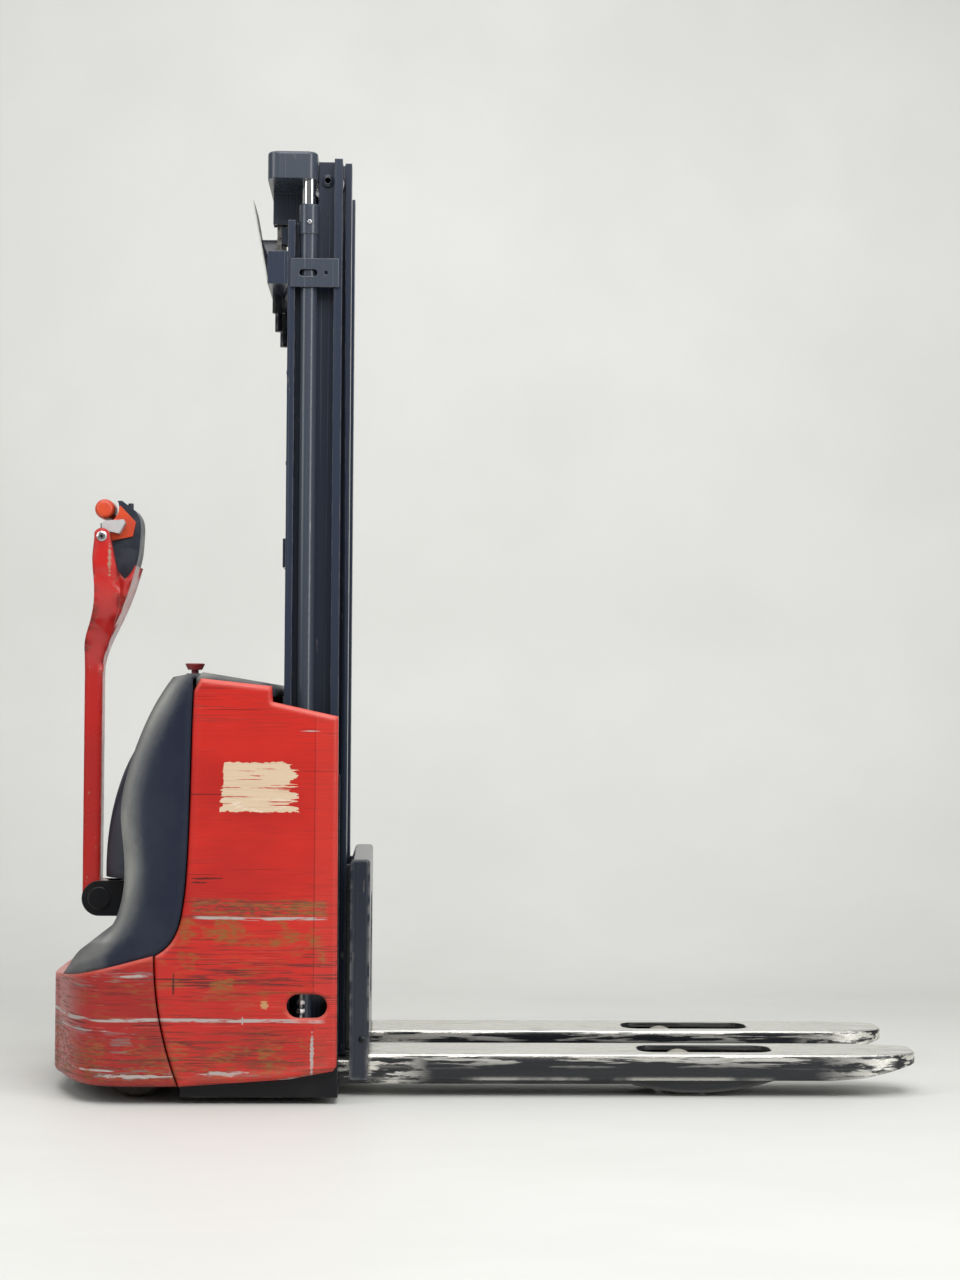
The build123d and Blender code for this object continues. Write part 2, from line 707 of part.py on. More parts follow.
with BuildPart() as outer_cross:
    slab(
        (behind(OUTER_BACK), behind(OUTER_BACK + OUTER_CROSS_DEPTH)),
        (-MAST_HALF, MAST_HALF),
        (ANCHOR_BAR_BOTTOM, ANCHOR_BAR_TOP),
    )
    for side in (-1, 1):
        upright(
            behind(CHAIN_BACK_X),
            side * CHAIN_Y,
            ANCHOR_BOLT_RADIUS,
            (ANCHOR_BAR_BOTTOM, ANCHOR_BAR_TOP),
            mode=Mode.SUBTRACT,
        )
    lower_cross_z = (LOWER_CROSS_BOTTOM, LOWER_CROSS_BOTTOM + LOWER_CROSS_HEIGHT)
    lower_cross_x = (behind(OUTER_BACK), behind(OUTER_BACK + LOWER_CROSS_DEPTH))
    slab(lower_cross_x, (-MAST_HALF + 10, MAST_HALF - 10), lower_cross_z)
    # Two legs hold the capacity plate
    leg_front = OUTER_BACK + OUTER_CROSS_DEPTH - 20
    for leg in (-PLATE_LEG_SPREAD, PLATE_LEG_SPREAD):
        with BuildSketch(side_plane(PLATE_Y + leg + PLATE_LEG / 2)):
            with BuildLine():
                Polyline(
                    *from_face(
                        [
                            (leg_front, ANCHOR_BAR_BOTTOM + 20),
                            (plate_front(ANCHOR_BAR_BOTTOM + 30), ANCHOR_BAR_BOTTOM + 30),
                            (plate_front(PLATE_LEG_TOP), PLATE_LEG_TOP),
                            (leg_front, PLATE_LEG_TOP),
                        ]
                    ),
                    close=True,
                )
            make_face()
        extrude(amount=PLATE_LEG)
save(outer_cross.part, "outer_cross_members")

with BuildPart() as anchors:
    for side in (-1, 1):
        anchor_x, anchor_y = behind(CHAIN_BACK_X), side * CHAIN_Y
        upright(anchor_x, anchor_y, ANCHOR_BOLT_RADIUS, (ANCHOR_BOLT_END, ANCHOR_BAR_TOP))
        with BuildSketch(Plane.XY.offset(ANCHOR_BAR_BOTTOM)):
            with Locations((anchor_x, anchor_y)):
                RegularPolygon(ANCHOR_NUT_RADIUS, 6)
        extrude(amount=-ANCHOR_NUT_HEIGHT)
        with BuildSketch(Plane.XY.offset(ANCHOR_BAR_TOP)):
            with Locations((anchor_x, anchor_y)):
                RectangleRounded(24, CHAIN_WIDTH + 10, 4)
        extrude(amount=ANCHOR_EYE_HEIGHT)
save(anchors.part, "chain_anchors")

with BuildPart() as mast_guard:
    slab(
        (behind(OUTER_BACK), behind(OUTER_BACK - GUARD_THICKNESS)),
        (-OUTER_FLANGE_TIP + 1, OUTER_FLANGE_TIP - 1),
        (LOWER_CROSS_BOTTOM, ANCHOR_BAR_TOP - GUARD_DROP),
    )
save(mast_guard.part, "mast_guard")

# Capacity plate on its bracket, left bare
with BuildPart() as capacity_plate:
    with BuildSketch(side_plane(PLATE_Y + PLATE_WIDTH / 2)):
        with BuildLine():
            Polyline(
                *from_face(
                    [
                        (PLATE_TOP_X, PLATE_TOP),
                        (PLATE_TOP_X + PLATE_THICKNESS, PLATE_TOP),
                        (PLATE_BOTTOM_X + PLATE_THICKNESS, PLATE_BOTTOM),
                        (PLATE_BOTTOM_X, PLATE_BOTTOM),
                    ]
                ),
                close=True,
            )
        make_face()
    extrude(amount=PLATE_WIDTH)
save(capacity_plate.part, "capacity_plate")

# Lift cylinders stand in the outer recess of the mast channels
ROD_BOTTOM = GLAND_TOP - ROD_OVERLAP - LIFT_STROKE
with BuildPart() as cylinder:
    upright(behind(CYLINDER_X), -CYLINDER_Y, CYLINDER_RADIUS, (ARM_TOP, CYLINDER_TOP))
    upright(behind(CYLINDER_X), -CYLINDER_Y, GLAND_RADIUS, (CYLINDER_TOP, GLAND_TOP))
    chamfer(cylinder.edges().filter_by(GeomType.CIRCLE).group_by(Axis.Z)[-1], length=2)
    upright(
        behind(CYLINDER_X),
        -CYLINDER_Y,
        CYLINDER_RADIUS - CYLINDER_WALL,
        (ROD_BOTTOM - 60, CYLINDER_TOP - 40),
        mode=Mode.SUBTRACT,
    )
    bore_z = (ROD_BOTTOM - 60, GLAND_TOP)
    upright(behind(CYLINDER_X), -CYLINDER_Y, ROD_RADIUS + RUN_GAP, bore_z, mode=Mode.SUBTRACT)
    # The gland clears the channel's web
    slab(
        (behind(OUTER_FRONT), behind(OUTER_BACK)),
        (-OUTER_WEB_INNER - MAST_WEB - 0.5, 0),
        (CYLINDER_TOP, GLAND_TOP),
        mode=Mode.SUBTRACT,
    )
    mirror(about=Plane.XZ)
save(cylinder.part, "lift_cylinders")

CLAMP_HEIGHTS = (CLAMP_LOW, ANCHOR_BAR_BOTTOM - 7)

with BuildPart() as clamps:
    for clamp_z in CLAMP_HEIGHTS:
        with BuildSketch(Plane.XY.offset(clamp_z)):
            with Locations((behind(OUTER_FRONT + OUTER_DEPTH / 2), -MAST_HALF - CLAMP_THICKNESS / 2)):
                Rectangle(OUTER_DEPTH - 10, CLAMP_THICKNESS)
            with Locations((behind(CYLINDER_X), -CYLINDER_Y)):
                Circle(CYLINDER_RADIUS + 0.3, mode=Mode.SUBTRACT)
        extrude(amount=CLAMP_HEIGHT)
    with BuildSketch(side_plane(-MAST_HALF)):
        for clamp_z in CLAMP_HEIGHTS:
            with Locations((behind(CYLINDER_X), clamp_z + CLAMP_HEIGHT / 2)):
                SlotOverall(*CLAMP_SLOT)
            with Locations((behind(CLAMP_HOLE_X), clamp_z + CLAMP_HEIGHT / 2)):
                Circle(CLAMP_HOLE_RADIUS)
    extrude(amount=CLAMP_THICKNESS, mode=Mode.SUBTRACT)
    fillet(clamps.edges().filter_by(Axis.Z).group_by(Axis.Y)[0], radius=4)
    mirror(about=Plane.XZ)
save(clamps.part, "cylinder_clamps")

with BuildPart() as outer_rollers:
    roller(
        behind(INNER_RECESS_X),
        OUTER_ROLLER_Z,
        CARRIAGE_ROLLER_RADIUS,
        (-INNER_TIP_OUT + 1, -INNER_WEB_INNER - MAST_WEB - 2),
    )
    mirror(about=Plane.XZ)
save(outer_rollers.part, "outer_mast_rollers")

# Inner mast
INNER_BACK = INNER_FRONT + INNER_DEPTH
INNER_WEB_OUT = INNER_WEB_INNER + MAST_WEB

with BuildPart() as inner_mast:
    with BuildSketch(Plane.XY.offset(INNER_BOTTOM)):
        tips = (INNER_TIP_IN, INNER_TIP_OUT)
        i_section(INNER_FRONT, INNER_DEPTH, INNER_FLANGE, INNER_FLANGE, tips, INNER_WEB_INNER)
    extrude(amount=INNER_TOP - INNER_BOTTOM)
    cross_pin(behind(OUTER_RECESS_X), INNER_ROLLER_Z, ROLLER_AXLE, (-OUTER_WEB_INNER + 1.5, -INNER_WEB_OUT))
    mirror(about=Plane.XZ)
save(inner_mast.part, "inner_mast_channels")

with BuildPart() as inner_rollers:
    roller(
        behind(OUTER_RECESS_X),
        INNER_ROLLER_Z,
        (OUTER_DEPTH - OUTER_FRONT_FLANGE - OUTER_REAR_FLANGE) / 2 - ROLLER_GAP,
        (-OUTER_WEB_INNER + 1.5, -INNER_TIP_OUT - 2),
    )
    mirror(about=Plane.XZ)
save(inner_rollers.part, "inner_mast_rollers")

with BuildPart() as inner_cross:
    for cross_z in (INNER_BOTTOM + 28, INNER_CROSS_MIDDLE, INNER_TOP - 346):
        slab(
            (behind(INNER_BACK), behind(INNER_BACK + INNER_CROSS_DEPTH)),
            (-INNER_TIP_OUT, INNER_TIP_OUT),
            (cross_z, cross_z + INNER_CROSS_HEIGHT),
        )
save(inner_cross.part, "inner_cross_members")

# Crosshead: joins the inner channels, takes the piston rods and carries the chain sheaves
SHEAVE_X = (CHAIN_BACK_X + CHAIN_FRONT_X) / 2
CHAIN_PITCH_RADIUS = (CHAIN_BACK_X - CHAIN_FRONT_X) / 2
CHAIN_INNER = CHAIN_PITCH_RADIUS - CHAIN_THICKNESS / 2
CHAIN_OUTER = CHAIN_PITCH_RADIUS + CHAIN_THICKNESS / 2
CHEEK_FACE = SHEAVE_WIDTH / 2 + 1

with BuildPart() as crosshead:
    slab(
        (behind(CROSSHEAD_FRONT), behind(CROSSHEAD_BACK)),
        (-CROSSHEAD_HALF, CROSSHEAD_HALF),
        (CROSSHEAD_BOTTOM, CROSSHEAD_TOP),
    )
    fillet(crosshead.edges().filter_by(Axis.Z), radius=CROSSHEAD_ROUND)
    fillet(crosshead.faces().sort_by(Axis.Z)[-1].edges(), radius=6)
    for side in (-1, 1):
        # Seat of the inner channel
        slab(
            (behind(0), behind(INNER_BACK)),
            (side * INNER_TIP_IN, side * INNER_TIP_OUT),
            (CROSSHEAD_BOTTOM, INNER_TOP),
            mode=Mode.SUBTRACT,
        )
        # Pocket over the sheave
        slab(
            (behind(SHEAVE_X - CHAIN_OUTER - 4), behind(SHEAVE_X + CHAIN_OUTER + 4)),
            (side * CHAIN_Y - CHEEK_FACE, side * CHAIN_Y + CHEEK_FACE),
            (CROSSHEAD_BOTTOM, SHEAVE_Z + CHAIN_OUTER + 6),
            mode=Mode.SUBTRACT,
        )
        for face in (-CHEEK_FACE - CHEEK, CHEEK_FACE):
            with BuildSketch(side_plane(side * CHAIN_Y + face + CHEEK)):
                with Locations((behind(SHEAVE_X), (CHEEK_BOTTOM + CROSSHEAD_BOTTOM) / 2)):
                    Rectangle(2 * CHAIN_OUTER + 16, CROSSHEAD_BOTTOM - CHEEK_BOTTOM)
            extrude(amount=CHEEK)
        cross_pin(
            behind(SHEAVE_X),
            SHEAVE_Z,
            ROLLER_AXLE,
            (side * CHAIN_Y - CHEEK_FACE - CHEEK, side * CHAIN_Y + CHEEK_FACE + CHEEK),
        )
save(crosshead.part, "crosshead")

with BuildPart() as sheaves:
    sheave_x = behind(SHEAVE_X)
    floor_radius = CHAIN_INNER - 0.3
    rim_radius = CHAIN_OUTER - 1
    for side in (-1, 1):
        low, high = side * CHAIN_Y - SHEAVE_WIDTH / 2, side * CHAIN_Y + SHEAVE_WIDTH / 2
        rim_edge = SHEAVE_RIM - 1.5
        with BuildSketch(Plane.XY.offset(SHEAVE_Z)):
            with BuildLine():
                Polyline(
                    (sheave_x + ROLLER_AXLE + RUN_GAP, low),
                    (sheave_x + rim_radius, low),
                    (sheave_x + rim_radius, low + rim_edge),
                    (sheave_x + floor_radius, low + rim_edge),
                    (sheave_x + floor_radius, high - rim_edge),
                    (sheave_x + rim_radius, high - rim_edge),
                    (sheave_x + rim_radius, high),
                    (sheave_x + ROLLER_AXLE + RUN_GAP, high),
                    close=True,
                )
            make_face()
        revolve(axis=Axis((sheave_x, 0, SHEAVE_Z), (0, 1, 0)))
save(sheaves.part, "chain_sheaves")

with BuildPart() as lift_rods:
    upright(behind(CYLINDER_X), -CYLINDER_Y, ROD_RADIUS, (ROD_BOTTOM, CROSSHEAD_BOTTOM))
    mirror(about=Plane.XZ)
save(lift_rods.part, "lift_rods")

# Lift chains: down to the anchors at the back, over the sheaves, down to the carriage at the front
with BuildPart() as chain_rear:
    for side in (-1, 1):
        slab(
            (behind(CHAIN_BACK_X - CHAIN_THICKNESS / 2), behind(CHAIN_BACK_X + CHAIN_THICKNESS / 2)),
            (side * CHAIN_Y - CHAIN_WIDTH / 2, side * CHAIN_Y + CHAIN_WIDTH / 2),
            (ANCHOR_BAR_TOP + ANCHOR_EYE_HEIGHT, SHEAVE_Z),
        )
save(chain_rear.part, "lift_chains_rear")

with BuildPart() as chain_wraps:
    for side in (-1, 1):
        with BuildSketch(side_plane(side * CHAIN_Y + CHAIN_WIDTH / 2)):
            with Locations((behind(SHEAVE_X), SHEAVE_Z)):
                Circle(CHAIN_OUTER)
                Circle(CHAIN_INNER, mode=Mode.SUBTRACT)
            with Locations((behind(SHEAVE_X), SHEAVE_Z - CHAIN_OUTER)):
                Rectangle(4 * CHAIN_OUTER, 2 * CHAIN_OUTER, mode=Mode.SUBTRACT)
        extrude(amount=CHAIN_WIDTH)
save(chain_wraps.part, "lift_chain_wraps")

with BuildPart() as chain_front:
    for side in (-1, 1):
        slab(
            (behind(CHAIN_FRONT_X - CHAIN_THICKNESS / 2), behind(CHAIN_FRONT_X + CHAIN_THICKNESS / 2)),
            (side * CHAIN_Y - CHAIN_WIDTH / 2, side * CHAIN_Y + CHAIN_WIDTH / 2),
            (CHAIN_BAR_TOP, SHEAVE_Z),
        )
save(chain_front.part, "lift_chains_front")

# Red side panels
PANEL_TOP_BACK = (SEAM_X - 14, 866)
PANEL_TOP_FRONT = (202, 851)
PANEL_STEP = (200, 819)
PANEL_SHOULDER = (66, 790)
PANEL_FOOT = [(64, 80), (72, 70), (160, 54)]


def panel_outline(rim):
    """Side panel's outline, drawn in from its edges by the rim, in the sketch being built."""
    (low_x, low_z), *lower = SEAM_LOWER
    *upper, (high_x, high_z) = SEAM_UPPER
    shoulders = [PANEL_TOP_FRONT, PANEL_STEP, PANEL_SHOULDER]
    with BuildLine() as outline:
        seam_low = Spline(*from_face([(low_x - rim, low_z + rim)] + [(x - rim, z) for x, z in lower]))
        seam_high = Spline(*from_face([(x - rim, z) for x, z in upper] + [(high_x - rim, high_z - rim)]))
        Polyline(
            seam_high @ 1,
            *from_face([(PANEL_TOP_BACK[0] - rim, PANEL_TOP_BACK[1] - rim)]),
            *from_face([(x + rim, z - rim) for x, z in shoulders]),
            *from_face([(x + rim, z + rim) for x, z in PANEL_FOOT]),
            seam_low @ 0,
        )
    make_face(outline.edges())


with BuildPart() as side_panel:
    with BuildSketch(side_plane(-SIDE_PLATE_Y)):
        panel_outline(0)
    extrude(amount=PANEL_DEPTH)
    fillet(side_panel.faces().sort_by(Axis.Y)[0].edges(), radius=PANEL_ROUND)
    with BuildSketch(side_plane(-SIDE_PLATE_Y)):
        panel_outline(PANEL_RIM)
    extrude(amount=PANEL_DEPTH - PANEL_WALL, mode=Mode.SUBTRACT)
    with BuildSketch(side_plane(-SIDE_PLATE_Y)):
        with Locations((behind(GRAB_X), GRAB_Z)):
            SlotOverall(GRAB_LENGTH, GRAB_HEIGHT)
    extrude(amount=PANEL_DEPTH, mode=Mode.SUBTRACT)
save_pair(side_panel.part, "side_panel")

# Red bumper skirt round the back
BUMPER_BACK = (HEAD_LENGTH + 5, 241)

with BuildPart() as bumper:
    with BuildSketch(Plane.XY.offset(BUMPER_BOTTOM)):
        body_plan(0)
    extrude(amount=HALF_BODY)
    fillet(bumper.faces().sort_by(Axis.Z)[0].edges().sort_by(Axis.X)[:4], radius=BUMPER_ROUND)
    with BuildSketch(Plane.XY.offset(BUMPER_BOTTOM)):
        body_plan(BUMPER_WALL)
    extrude(amount=BUMPER_LEDGE_BOTTOM - BUMPER_BOTTOM, mode=Mode.SUBTRACT)
    # The top is a broad ledge, which the drive plate fills and the shroud stands on
    with BuildSketch(Plane.XY.offset(BUMPER_LEDGE_BOTTOM)):
        body_plan(BUMPER_LEDGE)
    extrude(amount=HALF_BODY, mode=Mode.SUBTRACT)
    # Above the top line and ahead of the seam the head is not bumper
    with BuildSketch(side_plane(HALF_BODY)):
        with BuildLine():
            seam = Spline(*[(x - SEAM_GAP, z) for x, z in from_face(SEAM_LOWER)])
            top_line = Spline(seam @ 1, *from_face(BUMPER_TOP_LINE))
            Polyline(
                top_line @ 1,
                *from_face([BUMPER_BACK]),
                (behind(BUMPER_BACK[0]), HALF_BODY + 100),
                (behind(0), HALF_BODY + 100),
                (behind(0), 0),
                (behind(SEAM_LOWER[0][0]) - SEAM_GAP, 0),
                seam @ 0,
            )
        make_face()
    extrude(amount=BODY_WIDTH, mode=Mode.SUBTRACT)
save(bumper.part, "rear_bumper")

# Charcoal shroud: two wings and an apron, with a recess between the wings where the tiller swings
SHROUD_REAR = [
    BUMPER_TOP_LINE[-1],
    (SEAM_X + 261, 272),
    (SEAM_X + 228, 312),
    (SEAM_X + 173, 350),
    (SEAM_X + 146, 408),
    (SEAM_X + 143, 528),
    (SEAM_X + 148, 582),
    (SEAM_X + 120, 722),
    (SEAM_X + 81, 812),
    (SEAM_X + 45, 868),
]
SHROUD_TOP_FRONT = (SEAM_X + SEAM_GAP, 876)
SHROUD_HALF = HALF_BODY - SEAM_GAP
WING_ROUND = 34
COLUMN_HOLE = 52

with BuildPart() as shroud_cavity:
    with BuildSketch(side_plane(SHROUD_HALF - SHROUD_WALL)):
        with BuildLine():
            rear = Spline(*[(x + SHROUD_WALL, z - SHROUD_WALL) for x, z in from_face(SHROUD_REAR)])
            Polyline(
                rear @ 1,
                (behind(DRIVE_WALL_X), SHROUD_TOP_FRONT[1] - SHROUD_WALL),
                (behind(DRIVE_WALL_X), DRIVE_PLATE_BOTTOM),
                ((rear @ 0).X, DRIVE_PLATE_BOTTOM),
                rear @ 0,
            )
        make_face()
    extrude(amount=2 * (SHROUD_HALF - SHROUD_WALL))
    wing_edges = shroud_cavity.edges().filter_by(GeomType.BSPLINE).sort_by(SortBy.LENGTH)[-2:]
    fillet(wing_edges, radius=WING_ROUND - 4)
    with BuildSketch(Plane.XY):
        body_plan(SHROUD_WALL + 4)
    extrude(amount=MAST_TOP, mode=Mode.INTERSECT)
    slab(
        (behind(RECESS_X - SHROUD_WALL), behind(HEAD_LENGTH + 100)),
        (-RECESS_HALF - SHROUD_WALL, RECESS_HALF + SHROUD_WALL),
        (RECESS_FLOOR - SHROUD_WALL, MAST_TOP),
        mode=Mode.SUBTRACT,
    )

with BuildPart() as shroud:
    with BuildSketch(side_plane(SHROUD_HALF)):
        with BuildLine():
            rear = Spline(*from_face(SHROUD_REAR))
            front = Spline(*[(x - SEAM_GAP, z) for x, z in from_face(SEAM_UPPER)])
            Spline(front @ 0, *from_face(BUMPER_TOP_LINE))
            Polyline(rear @ 1, from_face([SHROUD_TOP_FRONT])[0], front @ 1)
        make_face()
    extrude(amount=2 * SHROUD_HALF)
    fillet(shroud.edges().filter_by(GeomType.BSPLINE).sort_by(SortBy.LENGTH)[-2:], radius=WING_ROUND)
    with BuildSketch(Plane.XY):
        body_plan(SEAM_GAP / 2)
    extrude(amount=MAST_TOP, mode=Mode.INTERSECT)
    with BuildSketch(Plane.XY.offset(RECESS_FLOOR)):
        with Locations((behind(RECESS_X + RECESS_HALF), 0)):
            RectangleRounded(2 * RECESS_HALF, 2 * RECESS_HALF, 25)
    extrude(amount=MAST_TOP, mode=Mode.SUBTRACT)
    add(shroud_cavity.part, mode=Mode.SUBTRACT)
    # The steering column turns in a round pocket
    column_top = TILLER_Z + TILLER_BOSS + 4
    upright(behind(STEER_X), 0, COLUMN_HOLE, (RECESS_FLOOR - 2 * SHROUD_WALL, column_top), mode=Mode.SUBTRACT)
    collar_z = (STOP_COLLAR_BOTTOM, MAST_TOP)
    upright(behind(STOP_X), 0, STOP_COLLAR_RADIUS + SEAT_GAP, collar_z, mode=Mode.SUBTRACT)
save(shroud.part, "shroud")

# Rounded hood behind the tiller, turned about the steering axis so that the tiller sweeps round it
HOOD_WALL = 5
HOOD_PROFILE = [(HOOD_RADIUS, 438), (123, 538), (101, 638), (69, 711), (34, 752), (0, 768)]
HOOD_INSIDE = [(radius - HOOD_WALL, z) for radius, z in HOOD_PROFILE[:4]]
HOOD_INSIDE += [(29, 752 - HOOD_WALL), (0, 768 - HOOD_WALL)]

with BuildPart() as hood:
    axis_x = behind(STEER_X)
    with BuildSketch(side_plane(0)):
        with BuildLine():
            outer = Spline(*[(axis_x - radius, z) for radius, z in HOOD_PROFILE])
            inner = Spline(*[(axis_x - radius, z) for radius, z in HOOD_INSIDE])
            Line(outer @ 0, inner @ 0)
            Line(outer @ 1, inner @ 1)
        make_face()
    revolve(axis=Axis((axis_x, 0, 0), (0, 0, 1)))
    slab((behind(RECESS_X), behind(0)), (-HALF_BODY, HALF_BODY), (0, MAST_TOP), mode=Mode.SUBTRACT)
save(hood.part, "hood")

# Battery cover, hinged beside the mast
COVER_FRONT = 200
COVER_OUTLINE = [
    (SEAM_X - 3, 850),
    (SEAM_X - 3, 866),
    (SEAM_X - 15, 879),
    (COVER_FRONT + 12, 857),
    (COVER_FRONT, 846),
    (COVER_FRONT, 830),
]
TAB_IN = HINGE_POST_OUT + 5
TAB_OUT = HINGE_PIN_END - 5

with BuildPart() as battery_cover:
    with BuildSketch(side_plane(COVER_HALF)):
        with BuildLine():
            Polyline(*from_face(COVER_OUTLINE), close=True)
        make_face()
    extrude(amount=2 * COVER_HALF)
    fillet(battery_cover.faces().filter_by(Axis.Y).edges().group_by(Axis.Z)[-1], radius=6)
    for side in (-1, 1):
        tab_y = (side * TAB_IN, side * TAB_OUT)
        slab((behind(COVER_HINGE_X), behind(COVER_FRONT)), tab_y, (COVER_HINGE_Z - 6, COVER_HINGE_Z + 8))
        cross_pin(behind(COVER_HINGE_X), COVER_HINGE_Z, HINGE_PIN_RADIUS + 4, tab_y)
        cross_pin(behind(COVER_HINGE_X), COVER_HINGE_Z, HINGE_PIN_RADIUS + RUN_GAP, tab_y, mode=Mode.SUBTRACT)
save(battery_cover.part, "battery_cover")

# Drive unit: slewing ring on the drive plate, gearbox below it, motor above it, all turned by the tiller
with BuildPart() as slewing_ring:
    ring_z = (DRIVE_PLATE_TOP, DRIVE_PLATE_TOP + SLEW_RING_HEIGHT)
    upright(behind(STEER_X), 0, TURNTABLE_RADIUS + SLEW_RING_WIDTH, ring_z)
    upright(behind(STEER_X), 0, TURNTABLE_RADIUS + SLEW_GAP, ring_z, mode=Mode.SUBTRACT)
save(slewing_ring.part, "slewing_ring")

TURNTABLE_BOTTOM = 2 * DRIVE_WHEEL_RADIUS + TYRE_GAP
TURNTABLE_TOP = TURNTABLE_BOTTOM + TURNTABLE
GEARBOX_IN = DRIVE_WHEEL_WIDTH / 2 + 4
GEARBOX_OUT = GEARBOX_IN + GEARBOX_WIDTH

with BuildPart() as gearbox:
    with BuildSketch(side_plane(GEARBOX_OUT)):
        with Locations((behind(STEER_X), DRIVE_WHEEL_RADIUS)):
            Circle(GEARBOX_RADIUS)
        with Locations((behind(STEER_X), (DRIVE_WHEEL_RADIUS + TURNTABLE_BOTTOM) / 2)):
            Rectangle(2 * GEARBOX_RADIUS, TURNTABLE_BOTTOM - DRIVE_WHEEL_RADIUS)
    extrude(amount=GEARBOX_OUT - GEARBOX_IN)
    fillet(gearbox.faces().sort_by(Axis.Y)[-1].edges().sort_by(Axis.Z)[:-1], radius=8)
    upright(behind(STEER_X), 0, TURNTABLE_RADIUS, (TURNTABLE_BOTTOM, TURNTABLE_TOP))
    axle_y = (-DRIVE_WHEEL_WIDTH / 2 + 6, GEARBOX_IN)
    cross_pin(behind(STEER_X), DRIVE_WHEEL_RADIUS, DRIVE_AXLE_RADIUS, axle_y)
save(gearbox.part, "drive_gearbox")

with BuildPart() as drive_motor:
    upright(behind(STEER_X), 0, MOTOR_RADIUS, (TURNTABLE_TOP, MOTOR_TOP))
    with BuildSketch(Plane.XY.offset(TURNTABLE_TOP + 14)):
        with Locations((behind(STEER_X), 0)):
            with PolarLocations(MOTOR_RADIUS, 24):
                Rectangle(6, 7)
    extrude(amount=MOTOR_TOP - TURNTABLE_TOP - 28, mode=Mode.SUBTRACT)
save(drive_motor.part, "drive_motor")

with BuildPart() as drive_hub:
    half = DRIVE_WHEEL_WIDTH / 2 - 1
    cross_pin(behind(STEER_X), DRIVE_WHEEL_RADIUS, DRIVE_HUB_RADIUS, (-half, half))
    hub_bore = DRIVE_AXLE_RADIUS + RUN_GAP
    cross_pin(behind(STEER_X), DRIVE_WHEEL_RADIUS, hub_bore, (-half, half), mode=Mode.SUBTRACT)
    with BuildSketch(side_plane(half)):
        with Locations((behind(STEER_X), DRIVE_WHEEL_RADIUS)):
            with PolarLocations(46, 6):
                Circle(9)
    extrude(amount=2 * half, mode=Mode.SUBTRACT)
save(drive_hub.part, "drive_wheel_hub")

with BuildPart() as drive_tyre:
    tyre_half = DRIVE_WHEEL_WIDTH / 2
    tyre_x = behind(STEER_X)
    shoulder = 8
    with BuildSketch(Plane.XY.offset(DRIVE_WHEEL_RADIUS)):
        with BuildLine():
            Polyline(
                (tyre_x + DRIVE_HUB_RADIUS, -tyre_half),
                (tyre_x + DRIVE_WHEEL_RADIUS - shoulder, -tyre_half),
                (tyre_x + DRIVE_WHEEL_RADIUS, -tyre_half + shoulder),
                (tyre_x + DRIVE_WHEEL_RADIUS, tyre_half - shoulder),
                (tyre_x + DRIVE_WHEEL_RADIUS - shoulder, tyre_half),
                (tyre_x + DRIVE_HUB_RADIUS, tyre_half),
                close=True,
            )
        make_face()
    revolve(axis=Axis((tyre_x, 0, DRIVE_WHEEL_RADIUS), (0, 1, 0)))
save(drive_tyre.part, "drive_wheel_tyre")

# Tiller bracket: a clevis on the steering column
CLEVIS_IN = TILLER_HALF + CLEVIS_GAP
CLEVIS_OUT = CLEVIS_IN + CLEVIS_EAR
BRACKET_HALF_HEIGHT = TILLER_BOSS
CAP_RADIUS = 24

with BuildPart() as tiller_bracket:
    with BuildSketch(side_plane(CLEVIS_OUT)):
        with Locations((behind(TILLER_X), TILLER_Z)):
            Circle(BRACKET_HALF_HEIGHT)
        with Locations((behind((TILLER_X + STEER_X) / 2), TILLER_Z)):
            Rectangle(TILLER_X - STEER_X, 2 * BRACKET_HALF_HEIGHT)
    extrude(amount=2 * CLEVIS_OUT)
    slab(
        (behind(TILLER_X - TILLER_BOSS - 6), behind(TILLER_X + TILLER_BOSS + 10)),
        (-CLEVIS_IN, CLEVIS_IN),
        (0, MAST_TOP),
        mode=Mode.SUBTRACT,
    )
    upright(behind(STEER_X), 0, CLEVIS_OUT, (TILLER_Z - BRACKET_HALF_HEIGHT, TILLER_Z + BRACKET_HALF_HEIGHT))
    upright(behind(STEER_X), 0, CLEVIS_OUT - 4, (MOTOR_TOP, TILLER_Z - BRACKET_HALF_HEIGHT))
    cross_pin(behind(TILLER_X), TILLER_Z, TILLER_PIN_RADIUS, (-CLEVIS_OUT, CLEVIS_OUT))
    for side in (-1, 1):
        cross_pin(behind(TILLER_X), TILLER_Z, CAP_RADIUS, (side * CLEVIS_OUT, side * (CLEVIS_OUT + 4)))
save(tiller_bracket.part, "tiller_bracket")

# Tiller arm: a stem that spreads into a bowl and two side arms round the control head
STEM_BACK = TILLER_BOSS
STEM_FRONT = STEM_BACK - TILLER_DEPTH
STEM_TOP = 489
ARM_LEFT_EDGE = [(STEM_BACK, 539), (24, 594), (12, 639), (11, 689), (14, 739), (10, 789)]
ARM_RIGHT_EDGE = [(-22, 789), (-32, 739), (-43, 679), (-43, 639), (-29, 594), (-10, 544)]
ARM_RIGHT_EDGE += [(STEM_FRONT, STEM_TOP)]
ARM_TIP = (-6, 799)
BOWL_LEFT_EDGE = [(STEM_BACK, STEM_TOP), (STEM_BACK, 539), (12, 639), (11, 684)]
BOWL_RIGHT_EDGE = [(-76, 721), (-68, 693), (-56, 656), (-33, 599), (-10, 550), (STEM_FRONT, STEM_TOP)]
HEAD_TIP = (-51, 691)
HEAD_RIGHT_EDGE = [HEAD_TIP, (-68, 711), (-79, 749), (-82, 787), (-80, 823), (-70, 841)]
HEAD_LEFT_EDGE = [(5, 805), (-3, 774), (-19, 741), (-35, 711), HEAD_TIP]
HEAD_TOP = [(-41, 863), (7, 863)]
UPWARD = (0, 1)
DOWNWARD = (0, -1)


